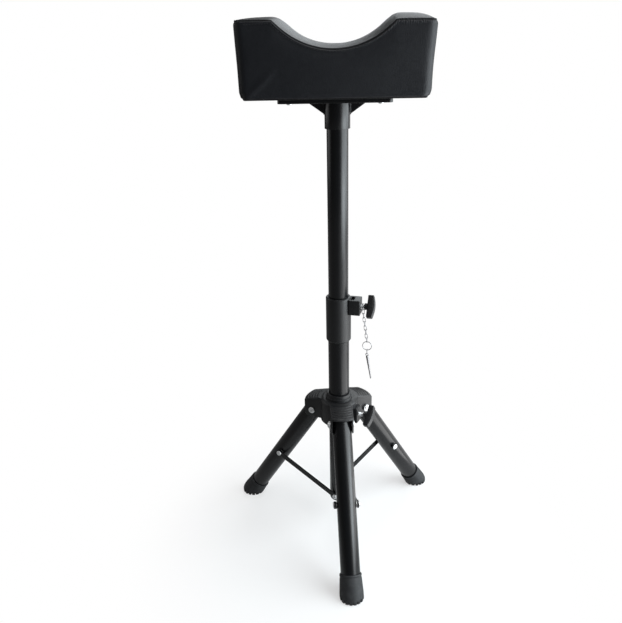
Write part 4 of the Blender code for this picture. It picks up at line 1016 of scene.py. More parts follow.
def add_hub():
    """The moulded hub: a ringed core with three hollow lobes, ribs and a lock boss."""
    top = RISE + RING_STEP * len(RING_RADII)
    corners = [
        (SLEEVE_BORE, top),
        (RING_RADII[1], top),
        (RING_RADII[1], RISE + RING_STEP),
        (RING_RADII[0], RISE + RING_STEP),
        (RING_RADII[0], RISE + OVERLAP),
        (CORE_RADIUS - 2 * LOBE_EDGE, RISE + OVERLAP),
        (CORE_RADIUS, RISE - LOBE_EDGE),
        (CORE_RADIUS, -SKIRT + LOBE_EDGE),
        (CORE_RADIUS - LOBE_EDGE, -SKIRT),
        (SLEEVE_BORE, -SKIRT),
    ]
    cut = [0.0003, 0.0008, 0.0004, 0.0008, 0.0004, 0.001, 0.001, 0.001, 0.001, 0]
    core = turned(rounded(corners, cut, closed=True), ring=True)
    start = (SLEEVE_BORE + SLOT_START) / 2
    edge = RISE - LOBE_DROP
    lobe_corners = [
        (start, -CHEEK_DEPTH),
        (LOBE_REACH - CHEEK_CORNER, -CHEEK_DEPTH),
        (LOBE_REACH, CHEEK_CORNER - CHEEK_DEPTH),
        (LOBE_REACH, edge - LOBE_EDGE),
        (LOBE_REACH - LOBE_EDGE, edge),
        (CORE_RADIUS - LOBE_EDGE, RISE),
        (start, RISE),
    ]
    cut = [0, 0.0016, 0.0016, 0.0012, 0.0012, 0.002, 0]
    lobe = swept(rounded(lobe_corners, cut, closed=True), CHEEK_OUTSIDE, LOBE_BULGE, 0.0009)
    inside = LOBE_REACH - LOBE_EDGE
    slot_start = SLOT_START - LOBE_BULGE
    slot = swept(
        [
            (slot_start, -SKIRT - PAST),
            (LOBE_REACH + PAST, -SKIRT - PAST),
            (LOBE_REACH + PAST, LOBE_LIP),
            (inside, LOBE_LIP),
            (inside, lobe_top(inside) - ROOF),
            (CORE_RADIUS - LOBE_EDGE, RISE - ROOF),
            (slot_start, RISE - ROOF),
        ],
        CHEEK_INSIDE,
        LOBE_BULGE,
    )
    ribs = []
    for low in RIB_STARTS:
        share = np.array([0.0, 1.0, 1.0, 0.75, 0.25, 0.0])
        lift = np.array([-1.5, -1.5, 0.3, 1.0, 1.0, 0.3])
        reach = low + share * RIB_WIDTH
        line = np.stack([reach, lobe_top(reach) + lift * RIB_HEIGHT], axis=1)
        line = rounded(line, [0, 0, 0.0004, 0.0004, 0.0004, 0.0004], closed=True)
        ribs.append(swept(line, CHEEK_INSIDE, LOBE_BULGE, steps=21))
    turns = [turn("Z", angle) for angle in LEG_TURNS.values()]
    lock = turn("Z", HUB_LOCK_TURN)
    half = HUB_BOSS_WIDTH / 2
    outline = rectangle(SLOT_START, -half, HUB_BOSS_REACH, half, 0.0010)
    boss = slab(outline, -HUB_BOSS_DROP, HUB_BOSS_TOP, 0.0008)
    room = NUT_RADIUS + FIT_GAP
    nut_low = (HUB_NUT_START - FIT_GAP, -room, -SKIRT - PAST)
    nut_high = (HUB_NUT_START + NUT_THICKNESS + FIT_GAP, room, HUB_LOCK_RISE + room)
    pivot_hole = rod(PIVOT_BOLT_RADIUS + FIT_GAP, -THROUGH, THROUGH)
    pivot_hole = placed(pivot_hole, shift(y=-PIVOT_REACH) @ ALONG_X)
    screw_hole = rod(LOCK_SCREW_RADIUS + FIT_GAP, 0, HUB_BOSS_REACH + PAST)
    screw_hole = placed(screw_hole, shift(z=HUB_LOCK_RISE) @ ALONG_X)
    steps = [(JOIN, placed(lobe, way)) for way in turns]
    steps.append((JOIN, placed(boss, lock)))
    steps.append((JOIN, together([placed(rib, way) for way in turns for rib in ribs])))
    steps.append((CUT, together([placed(slot, way) for way in turns])))
    steps.append((CUT, together([placed(pivot_hole, way) for way in turns])))
    steps.append((CUT, placed(box_shape(nut_low, nut_high), lock)))
    steps.append((CUT, placed(screw_hole, lock)))
    piece("hub", "hub_body", "moulding", [core], HUB, steps)
    nut = hex_nut(NUT_RADIUS, LOCK_SCREW_RADIUS + FIT_GAP, HUB_NUT_START, HUB_NUT_START + NUT_THICKNESS)
    piece("hub_nut", "hub_body", "zinc", [placed(nut, ALONG_X)], HUB_LOCK)
    seat = CHEEK_OUTSIDE + FIT_GAP
    length = 2 * seat + PIVOT_NUT + BOLT_TAIL
    bolt = button_bolt(PIVOT_HEAD_RADIUS, PIVOT_HEAD, PIVOT_BOLT_RADIUS, length, PIVOT_SOCKET)
    pivot_nut = hex_nut(PIVOT_NUT_RADIUS, PIVOT_BOLT_RADIUS + FIT_GAP, -seat - PIVOT_NUT, -seat)
    for name, pivot in PIVOTS.items():
        piece("leg_pivot_bolt_" + name, "hub_body", "zinc", [bolt], pivot @ shift(x=seat) @ ALONG_X)
        piece("leg_pivot_nut_" + name, "hub_body", "zinc", [pivot_nut], pivot @ ALONG_X)


def boot_shape():
    """A boot about the leg's axis: a turned form, lifted to the floor's plane where it would pass below it.

    Along the leg the floor lies at y tan(spread). Near the floor, notches draw the form in to their depth.
    """
    bore = LEG_RADIUS + FIT_GAP
    share = np.array([0.0, 0.25, 0.47, 0.60, 0.70, 0.79, 0.86, 0.91, 0.95, 0.98, 1.0])
    under = -BOOT_UNDER * np.sqrt(1 - share**2.6)
    sole = np.stack([BOOT_RADIUS * share, under], axis=1)
    wall_height = np.linspace(0.0005, BOOT_HEIGHT - 0.0012, 44)
    radii = [BOOT_RADIUS, BOOT_RADIUS, BOOT_TOP_RADIUS]
    wall_radius = np.interp(wall_height, [0, BOOT_BULGE, BOOT_HEIGHT], radii)
    wall_radius = wall_radius + 0.0005 * hill(wall_height - BOOT_HEIGHT + 0.0022, 0.0012)
    wall_radius = wall_radius - 0.0006 * hill(wall_height - BOOT_HEIGHT + 0.0052, 0.0010)
    rim = rounded(
        [
            (wall_radius[-1], wall_height[-1]),
            (BOOT_TOP_RADIUS, BOOT_HEIGHT),
            (bore, BOOT_HEIGHT),
            (bore, LEG_END - FIT_GAP),
            (0, LEG_END - FIT_GAP),
        ],
        [0, 0.0006, 0.0004, 0.0004, 0],
    )
    profile = np.vstack([sole, np.stack([wall_radius, wall_height], axis=1), rim[1:]])
    angle = around(192)
    lean = math.tan(LEG_SPREAD)
    radius = profile[:, :1] * np.ones(len(angle))
    height = profile[:, 1:] * np.ones(len(angle))
    lifted = np.maximum(height, radius * np.sin(angle) * lean)
    outside = np.interp(lifted, wall_height, wall_radius)
    radius = np.where(lifted > height, np.minimum(radius, outside), radius)
    lifted = np.maximum(height, radius * np.sin(angle) * lean)
    x, y = radius * np.cos(angle), radius * np.sin(angle)
    back = y * math.cos(LEG_SPREAD) + lifted * math.sin(LEG_SPREAD)
    above = lifted * math.cos(LEG_SPREAD) - y * math.sin(LEG_SPREAD)
    reach = np.hypot(x, back)
    pitch = math.tau / BOOT_NOTCHES
    off = np.abs(np.mod(np.arctan2(back, x) / pitch + 0.5, 1.0) - 0.5) * pitch * reach
    pressed = 1 - smooth(off, BOOT_NOTCH_WIDTH * 0.35, BOOT_NOTCH_WIDTH * 0.65)
    pressed = pressed * (1 - smooth(above, BOOT_NOTCH_HEIGHT * 0.9, BOOT_NOTCH_HEIGHT * 1.1))
    outer_rows = (np.arange(len(profile)) < len(sole) + len(wall_height))[:, None]
    drawn = 1 - pressed * outer_rows * np.maximum(reach - BOOT_NOTCH_START, 0) / np.maximum(reach, 1e-9)
    x, back = x * drawn, back * drawn
    y = back * math.cos(LEG_SPREAD) - above * math.sin(LEG_SPREAD)
    along = back * math.sin(LEG_SPREAD) + above * math.cos(LEG_SPREAD)
    return grid(np.stack([x, y, along - LEG_LENGTH], axis=-1))


def add_legs():
    """Leg tubes, boots and cross bolts, and the spreader bars with their bolts."""
    seat = LEG_RADIUS + FIT_GAP
    pivot_hole = placed(rod(PIVOT_BOLT_RADIUS + FIT_GAP, -THROUGH, THROUGH), ALONG_X)
    on_leg = shift(z=-STRUT_ON_LEG)
    strut_hole = placed(rod(STRUT_BOLT_RADIUS + FIT_GAP, -THROUGH, THROUGH), ALONG_X)
    leg_tube = tube(LEG_RADIUS, LEG_RADIUS - LEG_WALL, LEG_END - LEG_LENGTH, LEG_TOP)
    boot = boot_shape()
    end = seat + CROSS_NUT + BOLT_TAIL
    corners = [
        (0, STRUT_INSIDE - FIT_GAP),
        (WASHER_RADIUS, STRUT_INSIDE - FIT_GAP),
        (WASHER_RADIUS, seat),
        (STRUT_BOLT_RADIUS, seat),
        (STRUT_BOLT_RADIUS, -seat - CROSS_NUT),
        (RIVET_RADIUS, -seat - CROSS_NUT),
        (RIVET_RADIUS, -end + 0.0006),
        (RIVET_RADIUS * 0.6, -end),
        (0, -end),
    ]
    cut = [0, 0.0002, 0.0002, 0, 0, 0.0002, 0.0006, 0.001, 0]
    cross_bolt = placed(turned(rounded(corners, cut), 48), ALONG_X)
    cross_nut = hex_nut(CROSS_NUT_RADIUS, STRUT_BOLT_RADIUS + FIT_GAP, -seat - CROSS_NUT, -seat)
    cross_nut = placed(cross_nut, ALONG_X)
    to_bar = np.array([[0, 0, 1, 0], [1, 0, 0, 0], [0, 1, 0, STRUT_LENGTH / 2], [0, 0, 0, 1.0]])
    outline = slot_line(STRUT_LENGTH + STRUT_WIDTH, STRUT_WIDTH, 20)
    bar = placed(slab(outline, STRUT_INSIDE, STRUT_OUTSIDE, 0.0004), to_bar)
    bar_holes = together([strut_hole, placed(strut_hole, shift(z=STRUT_LENGTH))])
    eye = rod(STRUT_EYE_RADIUS, STRUT_INSIDE + 0.0001, STRUT_OUTSIDE - 0.0001, 48)
    eye = placed(eye, shift(z=STRUT_LENGTH) @ ALONG_X)
    bolt_seat = STRUT_OUTSIDE + FIT_GAP
    length = bolt_seat - STRUT_INSIDE
    strut_bolt = button_bolt(STRUT_HEAD_RADIUS, STRUT_HEAD, STRUT_BOLT_RADIUS, length, STRUT_SOCKET)
    for name in LEG_TURNS:
        leg, strut = LEGS[name], STRUTS[name]
        body = name + "_leg"
        holes = together([pivot_hole, placed(strut_hole, on_leg)])
        piece("leg_tube_" + name, body, "powder_coat", [leg_tube], leg, [(CUT, holes)])
        piece("leg_foot_" + name, body, "boot_rubber", [boot], leg)
        piece("leg_cross_bolt_" + name, body, "zinc", [cross_bolt], leg @ on_leg)
        piece("leg_cross_nut_" + name, body, "moulding", [cross_nut], leg @ on_leg)
        piece("strut_" + name, name + "_strut", "powder_coat", [bar], strut, [(JOIN, eye), (CUT, bar_holes)])
        place = strut @ shift(x=bolt_seat, z=STRUT_LENGTH) @ ALONG_X
        piece("strut_bolt_" + name, name + "_strut", "zinc", [strut_bolt], place)


def bead(path, radius):
    """A weld bead: a wire along a path whose radius ripples by about an eighth, four times a centimetre."""
    steps = np.linalg.norm(np.diff(path, axis=0, prepend=path[:1]), axis=1)
    ripple = 1 + 0.12 * np.sin(np.cumsum(steps) * math.tau * 400)
    return wire(path, radius * ripple, 10, closed=False)


def add_bracket():
    """Plate, collar and gussets, their weld beads, and the four cushion screws."""
    half_x, half_y = PLATE_WIDTH / 2, PLATE_DEPTH / 2
    outline = rectangle(HEAD_SHIFT - half_x, -half_y, HEAD_SHIFT + half_x, half_y, PLATE_CORNER)
    plate = slab(outline, PLATE_LOW, PLATE_TOP, 0.0008)
    collar = tube(COLLAR_RADIUS, COLUMN_BORE, COLLAR_LOW, PLATE_LOW + OVERLAP, 0.0006)
    gusset_line = np.array(
        [
            (COLLAR_RADIUS - OVERLAP, PLATE_LOW + OVERLAP),
            (COLLAR_RADIUS - OVERLAP, PLATE_LOW - GUSSET_DROP),
            (GUSSET_REACH, PLATE_LOW - 0.0012),
            (GUSSET_REACH, PLATE_LOW + OVERLAP),
        ]
    )
    gusset = placed(slab(gusset_line, -GUSSET_THICKNESS / 2, GUSSET_THICKNESS / 2, 0.0005), UPRIGHT)
    gussets = [gusset, placed(gusset, turn("Z", math.pi))]
    piece("head_bracket", "head", "powder_coat", [plate, collar] + gussets, HEAD)

    angle = np.linspace(0, math.tau, 181)
    ring = np.full((181, 3), PLATE_LOW - 0.0003)
    ring[:, :2] = (COLLAR_RADIUS + 0.0004) * np.stack([np.cos(angle), np.sin(angle)], axis=1)
    reach = np.linspace(COLLAR_RADIUS, GUSSET_REACH, 90)
    beads = [bead(ring, COLLAR_BEAD)]
    for sign in (-1, 1):
        for side in (-1, 1):
            face = side * GUSSET_THICKNESS / 2
            along = np.stack([sign * reach, np.full(90, face), np.full(90, PLATE_LOW - 0.0002)], axis=1)
            beads.append(bead(along, PLATE_BEAD))
            drop = np.linspace(PLATE_LOW, PLATE_LOW - GUSSET_DROP, 60)
            edge = sign * (COLLAR_RADIUS + 0.0001)
            down = np.stack([np.full(60, edge), np.full(60, face), drop], axis=1)
            beads.append(bead(down, GUSSET_BEAD))
    piece("weld_beads", "head", "powder_coat", beads, HEAD, name="weld_beads", nodes=[])

    head = (CUSHION_SCREW_HEAD_RADIUS, CUSHION_SCREW_HEAD)
    screw = button_bolt(*head, CUSHION_SCREW_RADIUS, CUSHION_SCREW_LENGTH, CUSHION_SCREW_SOCKET)
    for number, (sx, sy) in enumerate(((1, 1), (-1, 1), (-1, -1), (1, -1)), start=1):
        x, y = CUSHION_SCREW_PLACE
        place = HEAD @ shift(HEAD_SHIFT + sx * x, sy * y, PLATE_LOW - FIT_GAP) @ turn("X", math.pi)
        piece(f"cushion_screw_{number}", "head", "zinc", [screw], place)


# ---------------------------------------------------------------- cushion


def saddle_height(x):
    """Seam's height above the cushion's bottom: flat shoulders and a hollow that is part of a circle."""
    inside = np.minimum(np.abs(x), SADDLE_WIDTH / 2)
    return CUSHION_HEIGHT - SADDLE_DEPTH + SADDLE_RADIUS - np.sqrt(SADDLE_RADIUS**2 - inside**2)


def saddle_cosine(x):
    """Cosine of the top's slope."""
    inside = np.where(np.abs(x) < SADDLE_WIDTH / 2, x, 0.0)
    return np.sqrt(1 - (inside / SADDLE_RADIUS) ** 2)


def softened(curve, x, reach=0.016):
    """A curve of x, averaged over neighbours within reach on both sides, nearer ones counting more."""
    offsets = np.linspace(-1.0, 1.0, 13)
    weights = 1 - offsets**2 + 0.02
    return sum(weight * curve(x + reach * offset) for offset, weight in zip(offsets, weights / weights.sum()))


def round_off(a, b, half_a, half_b, radius):
    """Bends square corners to quarter circles.

    Past a corner's centre, the larger of the two distances becomes the distance from that centre.
    """
    past_a = np.maximum(np.abs(a) - (half_a - radius), 0.0)
    past_b = np.maximum(np.abs(b) - (half_b - radius), 0.0)
    share = np.maximum(past_a, past_b) / np.maximum(np.hypot(past_a, past_b), 1e-9)
    share = np.where((past_a > 0) & (past_b > 0), share, 1.0)
    new_a = np.sign(a) * (np.abs(a) - past_a + past_a * share)
    new_b = np.sign(b) * (np.abs(b) - past_b + past_b * share)
    return new_a, new_b


def cushion_form(across, along, up, inset, low, crown, top_gap=0.0):
    """Points of the cushion: shares across and along from -1 to 1, and up from 0 to 1.

    A block with a saddle top whose edges are rounded in plan, in front view and in side view. The seam
    falls a little to the right. The top has a softer hollow and a crown that dies out at the seams,
    front and back swell between the edges, and the sides are drawn in between the corners and flare
    towards the top ones.
    """
    half = (CUSHION_BASE_WIDTH + (CUSHION_WIDTH - CUSHION_BASE_WIDTH) * up) / 2 - inset
    deep = CUSHION_DEPTH / 2 - inset
    x, y = half * across, deep * along
    rest = np.sqrt(np.maximum(1 - along**2, 0.0))
    hollow = saddle_height(x) * (1 - rest) + softened(saddle_height, x) * rest
    top = CUSHION_LOW + hollow - SEAM_TILT * across * up - top_gap
    x, y = round_off(x, y, half, deep, PLAN_CORNER)
    middle, tall = (top + low) / 2, (top - low) / 2
    level = tall * (2 * up - 1)
    x, level = round_off(x, level, half, tall, SHOULDER_CORNER)
    y, level = round_off(y, level, deep, tall, np.where(level > 0, SEAM_CORNER, BASE_CORNER))
    z = middle + level
    slant = softened(lambda at: 1 / saddle_cosine(at), half * across)
    shoulder = SHOULDER_CROWN * smooth(np.abs(half * across), 0.05, 0.095)
    lift = (crown * slant + CROWN_TILT * across + shoulder) * (1 - along**2) * (1 - across**14)
    z = z + lift * (up == 1)
    y = y + along * CUSHION_BULGE * (1 - across**2) * 4 * up * (1 - up)
    x = x - np.sign(across) * CUSHION_WAIST * (1 - along**2) * np.abs(across) ** 3
    flare = np.where(across < 0, FLARES[0], FLARES[1])
    reach = flare * smooth(up, 0.3, 1.0) - BASE_DRAW * (1 - smooth(up, 0.0, 0.12))
    x = x + np.sign(across) * reach * smooth(np.abs(across), 0.7, 1.0)
    return np.stack([HEAD_SHIFT + x, y, z], axis=-1)


def shares(cells, edge, power):
    """Shares from 0 to 1 that crowd together towards both ends."""
    even = np.linspace(-1, 1, cells + 1)
    return ((1 - edge) * even + edge * np.sign(even) * (1 - (1 - np.abs(even)) ** power) + 1) / 2


def block_sides(shape):
    """Numbers the points on the outside of a block of cells, and gives the quads of its six sides."""
    outside = np.ones(shape, bool)
    outside[1:-1, 1:-1, 1:-1] = False
    number = np.full(shape, -1)
    number[outside] = np.arange(outside.sum())
    quads = []
    for axis in range(3):
        for end in (0, -1):
            layer = np.take(number, end, axis=axis)
            side = np.stack([layer[:-1, :-1], layer[1:, :-1], layer[1:, 1:], layer[:-1, 1:]], axis=-1)
            quads.append(side.reshape(-1, 4))
    return np.argwhere(outside), np.concatenate(quads)


def cushion_block(cells, edges, **sizes):
    """The cushion's outside as points, quads and the three shares of each point."""
    steps = [shares(count, edge, 2.4) for count, edge in zip(cells, edges)]
    index, quads = block_sides([len(step) for step in steps])
    across, along, up = (step[index[:, axis]] for axis, step in enumerate(steps))
    across, along = 2 * across - 1, 2 * along - 1
    return cushion_form(across, along, up, **sizes), quads, (across, along, up)


def swollen(obj, points, loose):
    """Lets the cover swell as cloth under air pressure, held at its seams and base.

    Gives each point's move, with its length changed to cap tanh(length / cap).
    """
    group = obj.vertex_groups.new(name="held")
    for level in np.unique(loose):
        group.add(np.flatnonzero(loose == level).tolist(), float(1 - level), "REPLACE")
    cloth = obj.modifiers.new("cloth", "CLOTH")
    cloth.settings.vertex_group_mass = "held"
    cloth.settings.use_pressure = True
    cloth.settings.uniform_pressure_force = 4.0
    cloth.settings.effector_weights.gravity = 0.0
    cloth.settings.quality = 4
    cloth.settings.mass = 0.3
    cloth.settings.tension_stiffness = 30.0
    cloth.settings.compression_stiffness = 30.0
    cloth.settings.bending_stiffness = 2.0
    cloth.point_cache.frame_start = 1
    cloth.point_cache.frame_end = CLOTH_FRAMES
    scene = bpy.context.scene
    for number in range(1, CLOTH_FRAMES + 1):
        scene.frame_set(number)
    result = obj.evaluated_get(bpy.context.evaluated_depsgraph_get()).data
    moved = np.empty(len(points) * 3)
    result.vertices.foreach_get("co", moved)
    obj.modifiers.clear()
    obj.vertex_groups.clear()
    scene.frame_set(1)
    way = moved.reshape(-1, 3) - points
    length = np.linalg.norm(way, axis=1, keepdims=True)
    return way * (CLOTH_CAP * np.tanh(length / CLOTH_CAP) / np.maximum(length, 1e-9))


def mesh_normals(mesh, points):
    """Normals of a mesh's points once they are put in place."""
    mesh.vertices.foreach_set("co", points.ravel())
    mesh.update()
    normals = np.empty(points.size)
    mesh.vertex_normals.foreach_get("vector", normals)
    return normals.reshape(-1, 3)


def seam_distance(points, across):
    """Signed distance from the sewn seam that runs round the front and back panels: positive on the band.

    Over the top the seam lies on the panels' upper edge; down the sides it lies set back behind them.
    The larger of the two distances counts.
    """
    x = points[:, 0] - HEAD_SHIFT
    behind = CUSHION_DEPTH / 2 - np.abs(points[:, 1])
    below = CUSHION_LOW + saddle_height(x) - SEAM_TILT * across - points[:, 2] - SEAM_CORNER * 0.3
    past = behind - SEAM_SET_BACK * smooth(np.abs(across), 0.955, 0.995)
    on_top = np.where(past > below, np.maximum(past, 0), -np.maximum(below, -past))
    return np.maximum(on_top, behind - SEAM_SET_BACK)


def add_cover():
    """The sewn cover: swollen cloth, drawn in at its seams with a roll beside them.

    Heights along the normals add bells about the seam, a crease, faint waves and a hem.
    """
    points, quads, (across, along, up) = cushion_block(
        (112, 46, 44),
        (0.25, 0.85, 0.85),
        inset=0.0,
        low=CUSHION_LOW,
        crown=CUSHION_CROWN - CROWN_LEFT_OUT,
    )
    mesh = mesh_of("cushion_cover", (points, quads.tolist()))
    obj = shown("fine_cushion_cover", mesh)
    seam = seam_distance(points, across)
    base = 1 - smooth(points[:, 2], CUSHION_LOW + 0.001, CUSHION_LOW + 0.012)
    held = np.maximum(hill(seam, 0.005), base)
    points = points + swollen(obj, points, np.round(1 - held, 1))
    normals = mesh_normals(mesh, points)
    x, z = points[:, 0] - HEAD_SHIFT, points[:, 2]
    near = hill(seam, SEAM_WIDTH)
    relief = -SEAM_DEPTH * near
    for place, width, height in SEAM_ROLLS:
        relief = relief + height * hill(seam - place, width)
    front = along < -0.5
    right = smooth(x, 0.055, 0.085) * (1 - smooth(x, 0.120, 0.134))
    ruffle = (0.2 + 0.8 * right) * hill(seam - 0.0005, 0.0045) * (1 - near)
    start, stop = np.array(CREASE_START), np.array(CREASE_STOP)
    way = (stop - start) / np.linalg.norm(stop - start)
    ahead = (x - start[0]) * way[0] + (z - start[1]) * way[1]
    aside = (z - start[1]) * way[0] - (x - start[0]) * way[1]
    crease = hill(aside, 0.0045) * smooth(ahead, -0.01, 0.012) * (1 - smooth(ahead, 0.035, 0.065))
    relief = relief + CREASE_HEIGHT * crease * front
    slack = np.sin(x * 61 + z * 45) * np.sin(x * 23 - z * 77 + 1.0) * smooth(np.abs(seam), 0.008, 0.03)
    relief = relief + SLACK * slack
    # hem: a sunk band along the lower edge, and the mask of the painted shade there
    hem = 1 - smooth(z - CUSHION_LOW, 0.7 * HEM, 1.4 * HEM)
    relief = relief + 0.0005 * hill(z - CUSHION_LOW - 2.6 * HEM, 0.8 * HEM) - 0.0004 * hem
    points = points + normals * (relief * (up > 0))[:, None]
    keep = np.ones(len(quads), bool)
    middle = np.stack([across, along, up], axis=1)[quads].mean(axis=1)
    open_x = 1 - 2 * WRAP / CUSHION_BASE_WIDTH
    open_y = 1 - 2 * WRAP / CUSHION_DEPTH
    keep[(middle[:, 2] == 0) & (np.abs(middle[:, 0]) < open_x) & (np.abs(middle[:, 1]) < open_y)] = False
    flat_points, quads = placed((points, quads[keep]), HEAD)
    obj.data = mesh_of("cushion_cover", (flat_points, quads.tolist()))
    # The "seam" values mark painted shade in the seam's groove and along the hem.
    for name, value in (("seam", np.maximum(near, hem)), ("ruffle", ruffle)):
        obj.data.attributes.new(name, "FLOAT", "POINT").data.foreach_set("value", value)
    loose = bmesh.new()
    loose.from_mesh(obj.data)
    bmesh.ops.delete(loose, geom=[vertex for vertex in loose.verts if not vertex.link_faces], context="VERTS")
    loose.to_mesh(obj.data)
    loose.free()
    dressed(obj, "head", "leatherette", ["cushion_cover"])
    shell = obj.modifiers.new("thickness", "SOLIDIFY")
    shell.thickness = COVER_THICKNESS
    shell.offset = -1


def add_filling():
    """Foam core and plywood base board."""
    points, quads, _ = cushion_block(
        (48, 20, 14),
        (0.2, 0.4, 0.3),
        inset=COVER_THICKNESS + FIT_GAP + FOAM_SIDE_GAP,
        low=BOARD_LOW + BOARD_THICKNESS + FIT_GAP,
        crown=FOAM_CROWN,
        top_gap=FOAM_GAP,
    )
    core = piece("foam_core", "head", "foam", [(points, quads.tolist())], HEAD)
    inset = COVER_THICKNESS + FIT_GAP
    half_x = CUSHION_BASE_WIDTH / 2 - inset - CUSHION_WAIST - BASE_DRAW
    half_y = CUSHION_DEPTH / 2 - inset
    outline = rectangle(HEAD_SHIFT - half_x, -half_y, HEAD_SHIFT + half_x, half_y, PLAN_CORNER)
    board = slab(outline, BOARD_LOW, BOARD_LOW + BOARD_THICKNESS, 0.0006)
    piece("base_board", "head", "plywood", [board], HEAD)


def repeated(shape, places, along, normal):
    """Copies of one small shape: its x runs along, its z along the normal, at each place."""
    points, faces = shape
    aside = unit(np.cross(normal, along))
    axes = np.stack([unit(along), aside, np.cross(unit(along), aside)], axis=1)
    copies = places[:, None] + np.einsum("pk,nkx->npx", points, axes)
    start = (np.arange(len(places)) * len(points))[:, None, None]
    return copies.reshape(-1, 3), (np.array(faces)[None] + start).reshape(-1, len(faces[0])).tolist()


def add_stitches():
    """Dark thread along the front and back panels below the top seam, and staples under the fold."""
    fine = np.linspace(-CUSHION_WIDTH / 2 + 0.014, CUSHION_WIDTH / 2 - 0.014, 4000)
    line = np.stack([fine, CUSHION_LOW + saddle_height(fine)], axis=1)
    length = np.concatenate([[0.0], np.cumsum(np.linalg.norm(np.diff(line, axis=0), axis=1))])
    stops = np.arange(STITCH_PITCH / 2, length[-1], STITCH_PITCH)
    x = np.interp(stops, length, fine)
    slope = np.gradient(line[:, 1], fine)
    rise = np.interp(stops, length, slope)
    along = unit(np.stack([np.ones(len(x)), np.zeros(len(x)), rise], axis=1))
    below = unit(np.stack([rise, np.zeros(len(x)), -np.ones(len(x))], axis=1))
    seam = np.stack([HEAD_SHIFT + x, np.zeros(len(x)), CUSHION_LOW + saddle_height(x)], axis=1)
    arch = [-0.0003, 0.0002, 0.0003, 0.0002, -0.0003]
    path = np.stack([np.linspace(-1, 1, 5) * STITCH_LENGTH / 2, np.zeros(5), arch], axis=1)
    stitch = wire(path, STITCH_RADIUS * np.array([0.05, 0.9, 1.0, 0.9, 0.05]), 6, closed=False)
    shapes = []
    for side in (-1.0, 1.0):
        up = (saddle_height(x) - STITCH_DROP) / saddle_height(x)
        swell = CUSHION_BULGE * (1 - (2 * x / CUSHION_WIDTH) ** 2) * 4 * up * (1 - up)
        places = seam + below * STITCH_DROP
        places[:, 1] = side * (CUSHION_DEPTH / 2 + swell + 0.0007)
        normal = np.tile([0.0, side, 0.0], (len(x), 1))
        shapes.append(repeated(stitch, places, along, normal))
    obj = piece("stitches", "head", "leatherette", shapes, HEAD, name="seam_stitches", nodes=[])
    obj.data.materials[0] = FINISHES["thread"]

    reach = np.array([-1, -0.94, -0.5, 0.5, 0.94, 1]) * STAPLE_REACH
    bent = np.array([-4, 0, 1, 1, 0, -4]) * 0.0002
    path = np.stack([reach, np.zeros(6), bent], axis=1)
    staple = wire(path, np.array([0.02, 1, 1, 1, 1, 0.02]) * STAPLE_RADIUS, 6, closed=False)
    half_x, half_y = CUSHION_BASE_WIDTH / 2 - 0.018, CUSHION_DEPTH / 2 - 0.016
    run = np.linspace(-0.88, 0.88, 13)
    wide = np.concatenate([np.stack([run * half_x, np.full(13, sign * half_y)], axis=1) for sign in (-1, 1)])
    run = np.linspace(-0.7, 0.7, 5)
    deep = np.concatenate([np.stack([np.full(5, sign * half_x), run * half_y], axis=1) for sign in (-1, 1)])
    flat = np.vstack([wide, deep])
    places = np.stack([HEAD_SHIFT + flat[:, 0], flat[:, 1], np.full(len(flat), CUSHION_LOW)], axis=1)
    along = np.vstack([np.tile([1.0, 0.25, 0.0], (len(wide), 1)), np.tile([0.25, 1.0, 0.0], (len(deep), 1))])
    normal = np.tile([0.0, 0.0, -1.0], (len(flat), 1))
    staples = repeated(staple, places, along, normal)
    piece("staples", "head", "zinc", [staples], HEAD, name="fold_staples", nodes=[])


# ---------------------------------------------------------------- studio


def add_camera():
    """Looks along the fitted direction: pitch below the horizon, then a small roll."""
    ahead = np.array(
        [
            math.sin(CAMERA_YAW) * math.cos(CAMERA_PITCH),
            math.cos(CAMERA_YAW) * math.cos(CAMERA_PITCH),
            -math.sin(CAMERA_PITCH),
        ]
    )
    level = np.array([math.cos(CAMERA_YAW), -math.sin(CAMERA_YAW), 0.0])
    down = np.cross(ahead, level)
    right = math.cos(CAMERA_ROLL) * level + math.sin(CAMERA_ROLL) * down
    below = -math.sin(CAMERA_ROLL) * level + math.cos(CAMERA_ROLL) * down
    back = turn("Z", -TRIPOD_TURN)[:3, :3]
    place = np.eye(4)
    place[:3, :3] = back @ np.stack([right, -below, -ahead], axis=1)
    place[:3, 3] = column_foot() + back @ np.array(CAMERA_OFFSET)
    data = bpy.data.cameras.new("camera")
    data.sensor_fit = "HORIZONTAL"
    data.sensor_width = SENSOR_WIDTH
    data.lens = FOCAL_PIXELS * SENSOR_WIDTH / PICTURE_WIDTH
    camera = shown("camera", data)
    camera.matrix_world = Matrix(place.tolist())
    bpy.context.scene.camera = camera


def add_lamp(name, place, target, width, height, radiance, colour=(1.0, 1.0, 1.0)):
    """A soft rectangular lamp at a place, facing a target: power is radiance x pi x area."""
    data = bpy.data.lights.new(name, "AREA")
    data.color = colour
    data.shape = "RECTANGLE"
    data.size, data.size_y = width, height
    data.energy = radiance * math.pi * width * height
    lamp = shown(name, data)
    back = unit(np.array(place, float) - np.array(target, float))
    right = unit(np.cross([0.0, 0.0, 1.0], back))
    axes = np.eye(4)
    axes[:3, :3] = np.stack([right, np.cross(back, right), back], axis=1)
    axes[:3, 3] = place
    lamp.matrix_world = Matrix(axes.tolist())


def white_to_the_eye(w, mirrored):
    """One for rays from the camera or a clear pane, and mirrored for rays from a shine.

    It is zero for the rays that light the stand.
    """
    rays = ("Camera", "Transmission", "Glossy")
    seen, clear, shine = (w.node("ShaderNodeLightPath", output=f"Is {ray} Ray") for ray in rays)
    return w.math("MAXIMUM", w.math("MAXIMUM", seen, clear), shine * mirrored)


